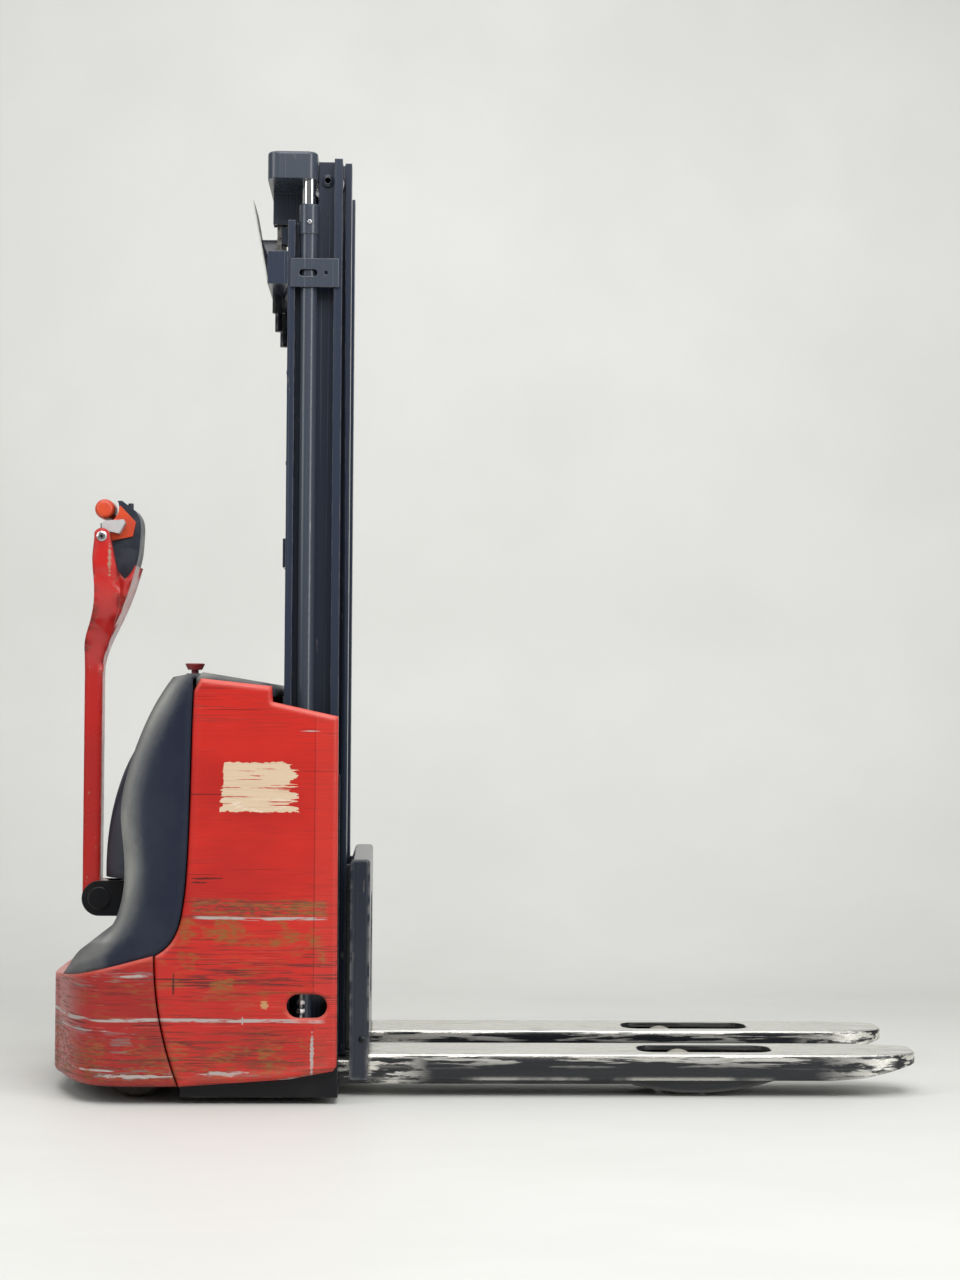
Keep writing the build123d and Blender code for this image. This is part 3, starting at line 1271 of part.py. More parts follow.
def head_outline(gap):
    """Control head's outline as seen from the right, drawn out by a gap, in the sketch being built."""
    right_edge = [(x - gap, z) for x, z in HEAD_RIGHT_EDGE]
    left_edge = [(x + gap, z) for x, z in HEAD_LEFT_EDGE]
    with BuildLine() as outline:
        right = Spline(*from_pin(right_edge))
        left = Spline(*from_pin(left_edge))
        (top_right, top), (top_left, top) = HEAD_TOP
        Polyline(right @ 1, *from_pin([(top_right - gap, top + gap), (top_left + gap, top + gap)]), left @ 0)
        if gap:
            Line(left @ 1, right @ 0)
    make_face(outline.edges())


def front_outline(points):
    """Outline across the truck, mirrored, from half widths and heights above the tiller's pin."""
    foot = (points[0][0], 0)
    with BuildLine() as outline:
        left = Spline(*[(half, TILLER_Z + height) for half, height in points], tangents=(UPWARD, UPWARD))
        right = mirror(left, about=Plane.YZ)
        Polyline(left @ 0, foot, (-foot[0], 0), right @ 0)
        Line(right @ 1, left @ 1)
    make_face(outline.edges())


SPREAD_EDGE = [(TILLER_HALF, 479), (62, 579), (104, 649), (SIDE_ARM_OUT, 709), (SIDE_ARM_OUT, 809)]
BOWL_EDGE = [(TILLER_HALF, STEM_TOP), (56, 594), (70, 669), (72, 759)]
FORK_OF_ARMS = TILLER_Z + 679

with BuildPart() as bowl:
    with BuildSketch(side_plane(SIDE_ARM_IN)):
        with BuildLine():
            right = Spline(*from_pin(BOWL_RIGHT_EDGE), tangents=((-0.3, -1), DOWNWARD))
            Polyline(right @ 1, *from_pin(BOWL_LEFT_EDGE), right @ 0)
        make_face()
    extrude(amount=2 * SIDE_ARM_IN)
    with BuildSketch(Plane.YZ.offset(behind(HEAD_LENGTH))):
        front_outline(BOWL_EDGE)
    extrude(amount=HEAD_LENGTH, mode=Mode.INTERSECT)

with BuildPart() as tiller_arm:
    with BuildSketch(side_plane(SIDE_ARM_OUT)):
        with BuildLine():
            left = Spline(*from_pin(ARM_LEFT_EDGE), tangents=(UPWARD, UPWARD))
            right = Spline(*from_pin(ARM_RIGHT_EDGE), tangents=((0.2, -1), DOWNWARD))
            ThreePointArc(left @ 1, *from_pin([ARM_TIP]), right @ 0)
            Polyline(right @ 1, *from_pin([(STEM_FRONT, 0), (STEM_BACK, 0)]), left @ 0)
        make_face()
    extrude(amount=2 * SIDE_ARM_OUT)
    with BuildSketch(Plane.YZ.offset(behind(HEAD_LENGTH))):
        front_outline(SPREAD_EDGE)
        with Locations((0, FORK_OF_ARMS + 2 * SIDE_ARM_IN)):
            RectangleRounded(2 * SIDE_ARM_IN, 4 * SIDE_ARM_IN, SIDE_ARM_IN * 0.8, mode=Mode.SUBTRACT)
    extrude(amount=HEAD_LENGTH, mode=Mode.INTERSECT)
    add(bowl.part)
    with BuildSketch(side_plane(HEAD_HALF + SEAT_GAP)):
        head_outline(SEAT_GAP)
    extrude(amount=2 * (HEAD_HALF + SEAT_GAP), mode=Mode.SUBTRACT)
    cross_pin(behind(TILLER_X), TILLER_Z, TILLER_BOSS, (-TILLER_HALF, TILLER_HALF))
    pin_bore = TILLER_PIN_RADIUS + RUN_GAP
    cross_pin(behind(TILLER_X), TILLER_Z, pin_bore, (-TILLER_HALF, TILLER_HALF), mode=Mode.SUBTRACT)
    for side in (-1, 1):
        grip_y = (side * (HEAD_HALF + SEAT_GAP), side * (SIDE_ARM_OUT - 10))
        cross_pin(behind(GRIP_X), GRIP_Z, GRIP_RADIUS, grip_y)
save(tiller_arm.part, "tiller_arm")

# Control head and its switches
HORN_X = TILLER_X - 58
HORN_Y = -24
HORN_RADIUS = 6
HORN_TOP = TILLER_Z + 859
HORN_HEIGHT = 24
HORN_TRAVEL = 4
LEVER_X = TILLER_X - 55
LEVER_Z = TILLER_Z + 841
LEVER_Y = 24
LEVER_RADIUS = 9
LEVER_HALF = 7
LEVER_THICKNESS = 5
LEVER_HEIGHT = 21
BELLY_STEM = 8
BELLY_STEM_LENGTH = 48
BELLY_STEM_ROOM = 10
PRESS = Vector(1, 0, -1).normalized()

with BuildPart() as tiller_head:
    with BuildSketch(side_plane(HEAD_HALF)):
        head_outline(0)
    extrude(amount=2 * HEAD_HALF)
    cross_pin(behind(BELLY_X), BELLY_Z, BELLY_RADIUS + BELLY_GAP, (-HEAD_HALF, HEAD_HALF), mode=Mode.SUBTRACT)
    shaft_bore = THROTTLE_SHAFT + RUN_GAP
    cross_pin(behind(THROTTLE_X), THROTTLE_Z, shaft_bore, (-HEAD_HALF, HEAD_HALF), mode=Mode.SUBTRACT)
    with BuildSketch(Plane(origin=(behind(BELLY_X), 0, BELLY_Z), z_dir=PRESS)):
        Circle(BELLY_STEM + RUN_GAP)
    extrude(amount=BELLY_STEM_LENGTH + BELLY_STEM_ROOM, mode=Mode.SUBTRACT)
    horn_floor = HORN_TOP - HORN_HEIGHT - HORN_TRAVEL
    upright(behind(HORN_X), HORN_Y, HORN_RADIUS + RUN_GAP, (horn_floor, HORN_TOP + 50), mode=Mode.SUBTRACT)
    lever_y = (LEVER_Y - LEVER_HALF - 1, LEVER_Y + LEVER_HALF + 1)
    cross_pin(behind(LEVER_X), LEVER_Z, LEVER_RADIUS + RUN_GAP, lever_y, mode=Mode.SUBTRACT)
    slot_x = (behind(LEVER_X + 7), behind(LEVER_X - 7))
    slab(slot_x, lever_y, (LEVER_Z, LEVER_Z + 2 * LEVER_HEIGHT), mode=Mode.SUBTRACT)
save(tiller_head.part, "tiller_head")

COVER_CHEEK = [(2, 809), (-38, 852), (-72, 816), (-65, 785), (-17, 775)]

with BuildPart() as head_cover:
    with BuildSketch(side_plane(-HEAD_HALF)):
        with BuildLine():
            Polyline(*from_pin(COVER_CHEEK), close=True)
        make_face()
        with Locations((behind(THROTTLE_X), THROTTLE_Z)):
            Circle(THROTTLE_SHAFT + 1, mode=Mode.SUBTRACT)
        with Locations((behind(BELLY_X), BELLY_Z)):
            Circle(BELLY_RADIUS + BELLY_GAP, mode=Mode.SUBTRACT)
    extrude(amount=HEAD_CHEEK)
    mirror(about=Plane.XZ)
save(head_cover.part, "head_cover")

with BuildPart() as belly_switch:
    cross_pin(behind(BELLY_X), BELLY_Z, BELLY_RADIUS, (-BELLY_HALF, BELLY_HALF))
    fillet(belly_switch.edges().filter_by(GeomType.CIRCLE), radius=12)
    with BuildSketch(Plane(origin=(behind(BELLY_X), 0, BELLY_Z), z_dir=PRESS)):
        Circle(BELLY_STEM)
    extrude(amount=BELLY_STEM_LENGTH)
save(belly_switch.part, "belly_switch")

PADDLE_IN = HEAD_HALF + HEAD_CHEEK + 1.5
PADDLE_OUT = SIDE_ARM_IN - 5
PADDLE_OUTLINE = [(0, 11), (-36, 14), (-40, 7), (-27, -17), (0, -11)]

with BuildPart() as throttle:
    cross_pin(behind(THROTTLE_X), THROTTLE_Z, THROTTLE_SHAFT, (-PADDLE_OUT, PADDLE_OUT))
    with BuildSketch(side_plane(-PADDLE_IN)):
        with Locations((behind(THROTTLE_X), THROTTLE_Z)):
            Circle(THROTTLE_SHAFT + 6)
        with BuildLine():
            Polyline(*[(behind(THROTTLE_X + x), THROTTLE_Z + z) for x, z in PADDLE_OUTLINE], close=True)
        make_face()
    extrude(amount=PADDLE_OUT - PADDLE_IN)
    mirror(about=Plane.XZ)
save(throttle.part, "throttle_wings")

with BuildPart() as horn_button:
    upright(behind(HORN_X), HORN_Y, HORN_RADIUS, (HORN_TOP - HORN_HEIGHT, HORN_TOP))
    fillet(horn_button.edges().filter_by(GeomType.CIRCLE).group_by(Axis.Z)[-1], radius=2)
save(horn_button.part, "horn_button")

with BuildPart() as lift_lever:
    lever_x = (behind(LEVER_X + LEVER_THICKNESS / 2), behind(LEVER_X - LEVER_THICKNESS / 2))
    boss_half = LEVER_HALF + 0.5
    cross_pin(behind(LEVER_X), LEVER_Z, LEVER_RADIUS, (LEVER_Y - boss_half, LEVER_Y + boss_half))
    slab(lever_x, (LEVER_Y - LEVER_HALF, LEVER_Y + LEVER_HALF), (LEVER_Z, LEVER_Z + LEVER_HEIGHT))
save(lift_lever.part, "lift_lever")

# Castors beside the drive wheel
with BuildPart() as castor_fork:
    axle_x = behind(CASTOR_X - CASTOR_TRAIL)
    disc_bottom = BOSS_BOTTOM - 20
    upright(behind(CASTOR_X), -CASTOR_Y, 30, (disc_bottom, BOSS_BOTTOM - 0.5))
    upright(behind(CASTOR_X), -CASTOR_Y, CASTOR_STEM, (disc_bottom, DRIVE_PLATE_BOTTOM))
    cheek_in = CASTOR_WIDTH / 2 + 2
    for cheek_y in (-CASTOR_Y + cheek_in + CASTOR_CHEEK, -CASTOR_Y - cheek_in):
        with BuildSketch(side_plane(cheek_y)):
            with BuildLine():
                Polyline(
                    (behind(CASTOR_X) - 24, disc_bottom),
                    (axle_x - 15, CASTOR_RADIUS),
                    (axle_x + 15, CASTOR_RADIUS),
                    (behind(CASTOR_X) + 27, disc_bottom),
                    close=True,
                )
            make_face()
            with Locations((axle_x, CASTOR_RADIUS)):
                Circle(15)
        extrude(amount=CASTOR_CHEEK)
    slab(
        (behind(CASTOR_X + 24), behind(CASTOR_X - 27)),
        (-CASTOR_Y - cheek_in - CASTOR_CHEEK, -CASTOR_Y + cheek_in + CASTOR_CHEEK),
        (disc_bottom - 6, disc_bottom),
    )
    cross_pin(axle_x, CASTOR_RADIUS, CASTOR_AXLE, (-CASTOR_Y - cheek_in, -CASTOR_Y + cheek_in))
save_pair(castor_fork.part, "castor_fork")

with BuildPart() as castor_wheel:
    wheel_x = behind(CASTOR_X - CASTOR_TRAIL)
    low, high = -CASTOR_Y - CASTOR_WIDTH / 2, -CASTOR_Y + CASTOR_WIDTH / 2
    tread = 6
    with BuildSketch(Plane.XY.offset(CASTOR_RADIUS)):
        with BuildLine():
            Polyline(
                (wheel_x + CASTOR_AXLE + RUN_GAP, low),
                (wheel_x + CASTOR_RADIUS - tread, low),
                (wheel_x + CASTOR_RADIUS, low + tread),
                (wheel_x + CASTOR_RADIUS, high - tread),
                (wheel_x + CASTOR_RADIUS - tread, high),
                (wheel_x + CASTOR_AXLE + RUN_GAP, high),
                close=True,
            )
        make_face()
    revolve(axis=Axis((wheel_x, 0, CASTOR_RADIUS), (0, 1, 0)))
save_pair(castor_wheel.part, "castor_wheel")

# Battery on its rails
with BuildPart() as battery_tray:
    tray_x = (behind(BATTERY_BACK), behind(BATTERY_FRONT))
    slab(tray_x, (-BATTERY_HALF, BATTERY_HALF), (BATTERY_BOTTOM, BATTERY_TOP))
    slab(
        (tray_x[0] + BATTERY_WALL, tray_x[1] - BATTERY_WALL),
        (-BATTERY_HALF + BATTERY_WALL, BATTERY_HALF - BATTERY_WALL),
        (BATTERY_BOTTOM + BATTERY_WALL, BATTERY_TOP),
        mode=Mode.SUBTRACT,
    )
save(battery_tray.part, "battery_tray")

CELL_X = (BATTERY_BACK - BATTERY_FRONT - 2 * BATTERY_WALL) / CELL_ROWS
CELL_Y = 2 * (BATTERY_HALF - BATTERY_WALL) / CELLS_PER_ROW
CELL_HEIGHT = BATTERY_TOP - BATTERY_BOTTOM - BATTERY_WALL - 30
with BuildPart() as battery_cells:
    with BuildSketch(Plane.XY.offset(BATTERY_BOTTOM + BATTERY_WALL)):
        with Locations((behind((BATTERY_BACK + BATTERY_FRONT) / 2), 0)):
            with GridLocations(CELL_X, CELL_Y, CELL_ROWS, CELLS_PER_ROW):
                Rectangle(CELL_X - CELL_GAP, CELL_Y - CELL_GAP)
    extrude(amount=CELL_HEIGHT)
    with BuildSketch(Plane.XY.offset(BATTERY_BOTTOM + BATTERY_WALL + CELL_HEIGHT)):
        with Locations((behind((BATTERY_BACK + BATTERY_FRONT) / 2), 0)):
            with GridLocations(CELL_X, CELL_Y, CELL_ROWS, CELLS_PER_ROW):
                Circle(14)
    extrude(amount=14)
save(battery_cells.part, "battery_cells")

# Hydraulic power pack over the support arms
with BuildPart() as hydraulic_unit:
    tank_x = (behind(DRIVE_WALL_X - 8), behind(BULKHEAD_BACK + 10))
    slab(tank_x, (10, SIDE_PLATE_IN - 12), (ARM_TOP, DRIVE_PLATE_BOTTOM - 10))
    fillet(hydraulic_unit.edges().filter_by(Axis.Z), radius=8)
    pump_x, pump_z = (tank_x[0] + tank_x[1]) / 2, ARM_TOP + 42
    cross_pin(pump_x, pump_z, 28, (-40, 10))
    cross_pin(pump_x, pump_z, 42, (-300, -40))
save(hydraulic_unit.part, "hydraulic_unit")

# Emergency stop
with BuildPart() as stop_collar:
    upright(behind(STOP_X), 0, STOP_COLLAR_RADIUS, (STOP_COLLAR_BOTTOM, STOP_COLLAR_TOP))
    upright(
        behind(STOP_X),
        0,
        STOP_STEM_RADIUS + RUN_GAP,
        (STOP_COLLAR_BOTTOM, STOP_COLLAR_TOP),
        mode=Mode.SUBTRACT,
    )
save(stop_collar.part, "stop_collar")

with BuildPart() as stop_knob:
    knob_x = behind(STOP_X)
    with BuildSketch(side_plane(0)):
        with BuildLine():
            Polyline(
                (knob_x, STOP_COLLAR_TOP - 14),
                (knob_x + STOP_STEM_RADIUS, STOP_COLLAR_TOP - 14),
                (knob_x + STOP_STEM_RADIUS, STOP_HEAD_BOTTOM),
                (knob_x + STOP_HEAD_RADIUS - 6, STOP_HEAD_BOTTOM),
                (knob_x + STOP_HEAD_RADIUS, STOP_HEAD_TOP - 2),
                (knob_x + STOP_HEAD_RADIUS - 2, STOP_HEAD_TOP),
                (knob_x, STOP_HEAD_TOP),
                close=True,
            )
        make_face()
    revolve(axis=Axis((knob_x, 0, 0), (0, 0, 1)))
save(stop_knob.part, "stop_knob")
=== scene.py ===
# %% [markdown]
# # A walk-behind electric forklift, dressed in Blender
# The truck's construction is already packed: every plate, roller and cover is there at its real size. This lesson
# gives each surface its finish and adds the small pieces that make the truck look used and real. We work in metres,
# in the truck's own frame: X along the forks, Y to the operator's left, Z up.

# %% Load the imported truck
import json
import math

import bpy
from mathutils import Matrix, Vector


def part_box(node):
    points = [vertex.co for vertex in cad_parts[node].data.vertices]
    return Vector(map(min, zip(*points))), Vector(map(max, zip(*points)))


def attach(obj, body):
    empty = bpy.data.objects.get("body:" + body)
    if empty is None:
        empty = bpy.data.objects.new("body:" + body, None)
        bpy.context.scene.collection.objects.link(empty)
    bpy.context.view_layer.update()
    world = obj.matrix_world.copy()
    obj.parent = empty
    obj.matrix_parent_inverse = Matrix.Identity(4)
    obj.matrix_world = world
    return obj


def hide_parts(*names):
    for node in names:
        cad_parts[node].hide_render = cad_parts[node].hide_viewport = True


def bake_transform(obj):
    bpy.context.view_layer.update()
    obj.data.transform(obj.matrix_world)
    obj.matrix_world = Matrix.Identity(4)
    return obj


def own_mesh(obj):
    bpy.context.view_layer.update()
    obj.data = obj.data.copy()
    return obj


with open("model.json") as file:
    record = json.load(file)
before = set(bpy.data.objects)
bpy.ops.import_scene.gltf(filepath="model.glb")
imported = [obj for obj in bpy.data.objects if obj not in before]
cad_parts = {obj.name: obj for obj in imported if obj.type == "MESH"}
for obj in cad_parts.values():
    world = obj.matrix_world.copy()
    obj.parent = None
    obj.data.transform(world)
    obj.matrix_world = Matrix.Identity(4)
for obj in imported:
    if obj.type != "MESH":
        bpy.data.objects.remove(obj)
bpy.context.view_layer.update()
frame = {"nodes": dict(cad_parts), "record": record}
nodes = frame["nodes"]
node_slot = {row["node"]: row["material_slot"] for row in frame["record"]["subparts"]}

# %% [markdown]
# ## The camera
# A photograph of a machine is easier to match when the camera is solved first. The truck was seen from its right-hand
# side, from about five metres and a little above the middle of the body, with a long lens. The camera is built from
# three directions: ahead, to its side and up, and then rolled a trifle, as a hand-held camera is.

# %% Set the camera
MM = 0.001
CAMERA_PLACE = Vector((-0.18206, -5.46576, 0.81764))
CAMERA_TURN = 0.0322
CAMERA_RISE = 0.0257
CAMERA_ROLL = 0.0069
CAMERA_LENS = 93.258
SENSOR_WIDTH = 36.0

ahead = Vector((
    math.sin(CAMERA_TURN) * math.cos(CAMERA_RISE),
    math.cos(CAMERA_TURN) * math.cos(CAMERA_RISE),
    math.sin(CAMERA_RISE),
))
level = Vector((math.cos(CAMERA_TURN), -math.sin(CAMERA_TURN), 0.0))
over = level.cross(ahead)
side = math.cos(CAMERA_ROLL) * level + math.sin(CAMERA_ROLL) * over
over = -math.sin(CAMERA_ROLL) * level + math.cos(CAMERA_ROLL) * over

camera_data = bpy.data.cameras.new("camera")
camera_data.sensor_fit = "HORIZONTAL"
camera_data.sensor_width = SENSOR_WIDTH
camera_data.lens = CAMERA_LENS
camera = bpy.data.objects.new("camera", camera_data)
bpy.context.scene.collection.objects.link(camera)
turn = Matrix((side, over, -ahead)).transposed().to_4x4()
camera.matrix_world = Matrix.Translation(CAMERA_PLACE) @ turn
bpy.context.scene.camera = camera
print("camera at", tuple(CAMERA_PLACE))

# %% [markdown]
# ## Small helpers for modelling by hand
# Blender's operators act on whatever is selected, so each piece starts by deselecting everything. The helpers below
# add a primitive, select faces by a test on their place or direction, and put a finished piece on the body that
# carries it. A finished piece keeps its place in its mesh, and its object stays at the origin.

# %% Modelling helpers
SMOOTH_ANGLE = math.radians(32)
finishes = {}


def clear_selection():
    """Leaves edit mode and deselects every object."""
    if bpy.context.object and bpy.context.object.mode != "OBJECT":
        bpy.ops.object.mode_set(mode="OBJECT")
    bpy.ops.object.select_all(action="DESELECT")


def pick(kind, test):
    """Selects the vertices, edges or faces of the active mesh whose centre and normal pass the test."""
    bpy.ops.object.mode_set(mode="OBJECT")
    mesh = bpy.context.object.data
    for items in (mesh.vertices, mesh.edges, mesh.polygons):
        items.foreach_set("select", [False] * len(items))
    if kind == "FACE":
        for face in mesh.polygons:
            face.select = test(face.center, face.normal)
    elif kind == "EDGE":
        for edge in mesh.edges:
            first, second = (mesh.vertices[index].co for index in edge.vertices)
            edge.select = test((first + second) / 2, (second - first).normalized())
    else:
        for vertex in mesh.vertices:
            vertex.select = test(vertex.co, vertex.normal)
    bpy.ops.object.mode_set(mode="EDIT")
    bpy.ops.mesh.select_mode(type=kind)


def settle():
    """Moves the active object's place, turn and size into its mesh."""
    bpy.ops.object.mode_set(mode="OBJECT")
    bpy.ops.object.transform_apply(location=True, rotation=True, scale=True)


def block(size, place):
    """A block of this size, ready to be shaped."""
    clear_selection()
    bpy.ops.mesh.primitive_cube_add(size=1, location=place)
    bpy.context.object.scale = size
    settle()
    return bpy.context.object


def round_bar(sides, radius, depth):
    """A bar that stands on the origin, ready to be shaped."""
    clear_selection()
    bpy.ops.mesh.primitive_cylinder_add(vertices=sides, radius=radius, depth=depth, location=(0, 0, depth / 2))
    settle()
    return bpy.context.object


def use_modifier(kind, **settings):
    """Adds a modifier to the active object, sets it and applies it."""
    bpy.ops.object.mode_set(mode="OBJECT")
    bpy.ops.object.modifier_add(type=kind)
    modifier = bpy.context.object.modifiers[-1]
    for name, value in settings.items():
        setattr(modifier, name, value)
    bpy.ops.object.modifier_apply(modifier=modifier.name)


def extrude(*step):
    """Extrudes what is selected by a step in metres."""
    bpy.ops.mesh.extrude_region_move(TRANSFORM_OT_translate={"value": step})


def finish_piece(piece, body, slot, *replaced, finish=None):
    """Gives a piece its own finish or its slot's, and puts it on the body that carries it, if one body does."""
    piece.data.name = piece.name
    piece.data.materials.clear()
    piece.data.materials.append(finish or finishes[slot])
    if body:
        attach(piece, body)
    if replaced:
        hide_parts(*replaced)


def join_pieces(pieces, name):
    """Joins pieces into one, with their places in its mesh."""
    clear_selection()
    for piece in pieces:
        piece.select_set(True)
    bpy.context.view_layer.objects.active = pieces[0]
    if len(pieces) > 1:
        bpy.ops.object.join()
    settle()
    bpy.ops.object.shade_smooth_by_angle(angle=SMOOTH_ANGLE)
    joined = bpy.context.object
    joined.name = name
    return joined


def join_copies(master, places, name):
    """Copies a master mesh to each place, joins the copies and removes the master."""
    clear_selection()
    copies = []
    for place in places:
        copy = master.copy()
        copy.data = master.data.copy()
        copy.matrix_world = place
        bpy.context.scene.collection.objects.link(copy)
        copies.append(copy)
    bpy.data.objects.remove(master)
    return join_pieces(copies, name)


# %% [markdown]
# ## The stage
# The floor and the wall behind it are one pale sheet with a round sweep, as in a photographer's studio. A plane is
# added, its back edge is extruded upwards, and the fold is bevelled into a smooth curve. A second plane goes on with
# the floor behind the wall. The sheet's finish is clear from its back, so the truck can be looked at from there too.

# %% Floor and backdrop
STAGE_SIZE = 16.0
STAGE_BACK = 2.6
STAGE_HEIGHT = 6.0
SWEEP_RADIUS = 1.1

clear_selection()
bpy.ops.mesh.primitive_plane_add(size=STAGE_SIZE, location=(0, STAGE_BACK - STAGE_SIZE / 2, 0))
stage = bpy.context.object
settle()
pick("EDGE", lambda centre, along: centre.y > STAGE_BACK - 0.01)
extrude(0, 0, STAGE_HEIGHT)
pick("EDGE", lambda centre, along: abs(centre.z) < 0.01 and centre.y > STAGE_BACK - 0.01)
bpy.ops.mesh.bevel(offset=SWEEP_RADIUS, segments=24, profile=0.5)
bpy.ops.mesh.select_all(action="SELECT")
bpy.ops.mesh.normals_make_consistent(inside=True)
bpy.ops.object.mode_set(mode="OBJECT")
bpy.ops.object.shade_smooth_by_angle(angle=SMOOTH_ANGLE)
stage.name = "studio_sweep"

clear_selection()
bpy.ops.mesh.primitive_plane_add(size=STAGE_SIZE, location=(0, STAGE_BACK - SWEEP_RADIUS + STAGE_SIZE / 2, 0))
rear_floor = bpy.context.object
settle()
rear_floor.name = "rear_floor"
print("stage faces:", len(stage.data.polygons), "floor faces up:", stage.data.polygons[0].normal.z > 0)

# %% [markdown]
# ## The light
# The picture is bright and soft: light comes from all round, most of it from above. A pale world gives the even part,
# an overhead panel models the tops of the covers, tall panels on both sides draw the long highlights on the mast and
# the covers' edges, and a high front panel lights the side that we see.

# %% Lights
WORLD_COLOUR = (1.0, 1.0, 0.985, 1.0)
WORLD_STRENGTH = 0.2
# Each panel: its place, the point that it faces, its width and height, and its power.
PANELS = {
    "overhead_panel": ((-0.2, -0.6, 3.6), (-0.1, 0.1, 0.0), 4.5, 3.0, 82),
    "right_panel": ((3.2, -3.4, 2.0), (-0.4, 0.0, 0.9), 1.4, 3.0, 85),
    "left_panel": ((-3.6, -2.2, 2.4), (-0.5, 0.0, 0.9), 1.6, 2.4, 45),
    "front_panel": ((0.4, -4.0, 4.4), (-0.3, 0.0, 0.8), 3.6, 2.4, 170),
}


def soft_panel(name, place, aim, width, height, power):
    """A rectangular light of this size in metres, turned towards a point."""
    data = bpy.data.lights.new(name, "AREA")
    data.shape = "RECTANGLE"
    data.size = width
    data.size_y = height
    data.energy = power
    lamp = bpy.data.objects.new(name, data)
    bpy.context.scene.collection.objects.link(lamp)
    lamp.location = place
    lamp.rotation_euler = (Vector(aim) - Vector(place)).to_track_quat("-Z", "Y").to_euler()


world = bpy.data.worlds.new("studio_air")
bpy.context.scene.world = world
world.use_nodes = True
air = world.node_tree.nodes["Background"].inputs
air["Color"].default_value = WORLD_COLOUR
air["Strength"].default_value = WORLD_STRENGTH
for name, row in PANELS.items():
    soft_panel(name, *row)
bpy.context.scene.view_settings.view_transform = "Standard"
print("world strength", WORLD_STRENGTH, "panels:", list(PANELS))

# %% [markdown]
# ## Shader helpers
# A socket knows the node tree that it belongs to, so the helpers below take sockets and plain numbers alike and put
# each new node into the right tree.

# %% Node helpers


def add_node(tree, kind, inputs=None, **settings):
    """Adds a node, sets its properties and either links or sets each named input."""
    made = tree.nodes.new(kind)
    for name, value in settings.items():
        setattr(made, name, value)
    for name, value in (inputs or {}).items():
        socket = made.inputs[name]
        if isinstance(value, bpy.types.NodeSocket):
            tree.links.new(value, socket)
        else:
            socket.default_value = value
    return made


def tree_of(*values):
    """The node tree of the first socket among these values."""
    return next(value.id_data for value in values if isinstance(value, bpy.types.NodeSocket))


def maths(operation, first, second=0.0):
    """The result of one sum."""
    return add_node(tree_of(first, second), "ShaderNodeMath", {0: first, 1: second}, operation=operation).outputs[0]


def plus(first, second):
    return maths("ADD", first, second)


def minus(first, second):
    return maths("SUBTRACT", first, second)


def times(first, *others):
    """The product of two or more values."""
    for other in others:
        first = maths("MULTIPLY", first, other)
    return first


def most(first, *others):
    """The largest of two or more values."""
    for other in others:
        first = maths("MAXIMUM", first, other)
    return first


def vectors(operation, first, second=(0, 0, 0)):
    """The result of one sum on vectors: a number for a length or a dot product, and a vector otherwise."""
    made = add_node(tree_of(first), "ShaderNodeVectorMath", {0: first, 1: second}, operation=operation)
    return made.outputs["Value" if operation in ("LENGTH", "DOT_PRODUCT") else "Vector"]


def axes_of(vector):
    """The X, Y and Z of a vector."""
    return add_node(tree_of(vector), "ShaderNodeSeparateXYZ", {0: vector}).outputs


def noise(place, scale, detail, **settings):
    """Cloudy noise from 0 to 1."""
    inputs = {"Vector": place, "Scale": scale, "Detail": detail, **settings}
    return add_node(tree_of(place), "ShaderNodeTexNoise", inputs).outputs["Fac"]


def ramp(value, low, high):
    """0 below low, 1 above high and smooth between; low may be the larger."""
    inputs = {"Value": value, "From Min": low, "From Max": high}
    made = add_node(tree_of(value), "ShaderNodeMapRange", inputs, interpolation_type="SMOOTHSTEP")
    return made.outputs["Result"]


def pick_value(mask, low, high):
    """A number that goes from low to high with a mask."""
    inputs = {"Value": mask, "To Min": low, "To Max": high}
    return add_node(tree_of(mask), "ShaderNodeMapRange", inputs).outputs["Result"]


def layer(mask, under, over_colour):
    """A coat of colour over another, where the mask is 1."""
    inputs = {0: mask, 6: under, 7: over_colour}
    return add_node(tree_of(mask), "ShaderNodeMix", inputs, data_type="RGBA").outputs[2]


def coats(colour, *rows):
    """Thin coats of paint over a colour, each with its mask, its share and its paint."""
    for mask, share, paint in rows:
        colour = layer(times(mask, share), colour, paint)
    return colour


def rounded(tree, radius, samples):
    """The surface's normal, as if its edges were rounded by this radius."""
    return add_node(tree, "ShaderNodeBevel", {"Radius": radius}, samples=samples).outputs["Normal"]


# %% [markdown]
# ## Shared effects
# Paint, plastic and steel on a used truck share a few effects: patches where a surface is scraped, bands at a certain
# height where pallets rub, ragged marks, worn edges, dust on what faces up, and the fine grain of moulded plastic.
# Each effect is a node group with named inputs, built once, and every material sets its own values.

# %% Scraped patches


def new_group(name, output, **inputs):
    """A node group on coordinates with these inputs and one output: its tree, its inputs and its output."""
    tree = bpy.data.node_groups.new(name, "ShaderNodeTree")
    for label, value in {"Coordinates": (0, 0, 0), **inputs}.items():
        kind = "NodeSocketVector" if isinstance(value, tuple) else "NodeSocketFloat"
        socket = tree.interface.new_socket(label.replace("_", " "), in_out="INPUT", socket_type=kind)
        socket.default_value = value
    tree.interface.new_socket(output, in_out="OUTPUT", socket_type="NodeSocketFloat")
    return tree, tree.nodes.new("NodeGroupInput").outputs, tree.nodes.new("NodeGroupOutput").inputs[0]


scrapes, given, put = new_group(
    "scraped_patches", "Mask", Stretch=(10, 10, 10), Threshold=0.6, Softness=0.05, Detail=4.0
)
stretched = vectors("MULTIPLY", given["Coordinates"], given["Stretch"])
speckle = noise(stretched, 1.0, given["Detail"], Roughness=0.6)
scrapes.links.new(ramp(speckle, given["Threshold"], plus(given["Threshold"], given["Softness"])), put)

# %% Bands at a height
END_FADE = 0.02

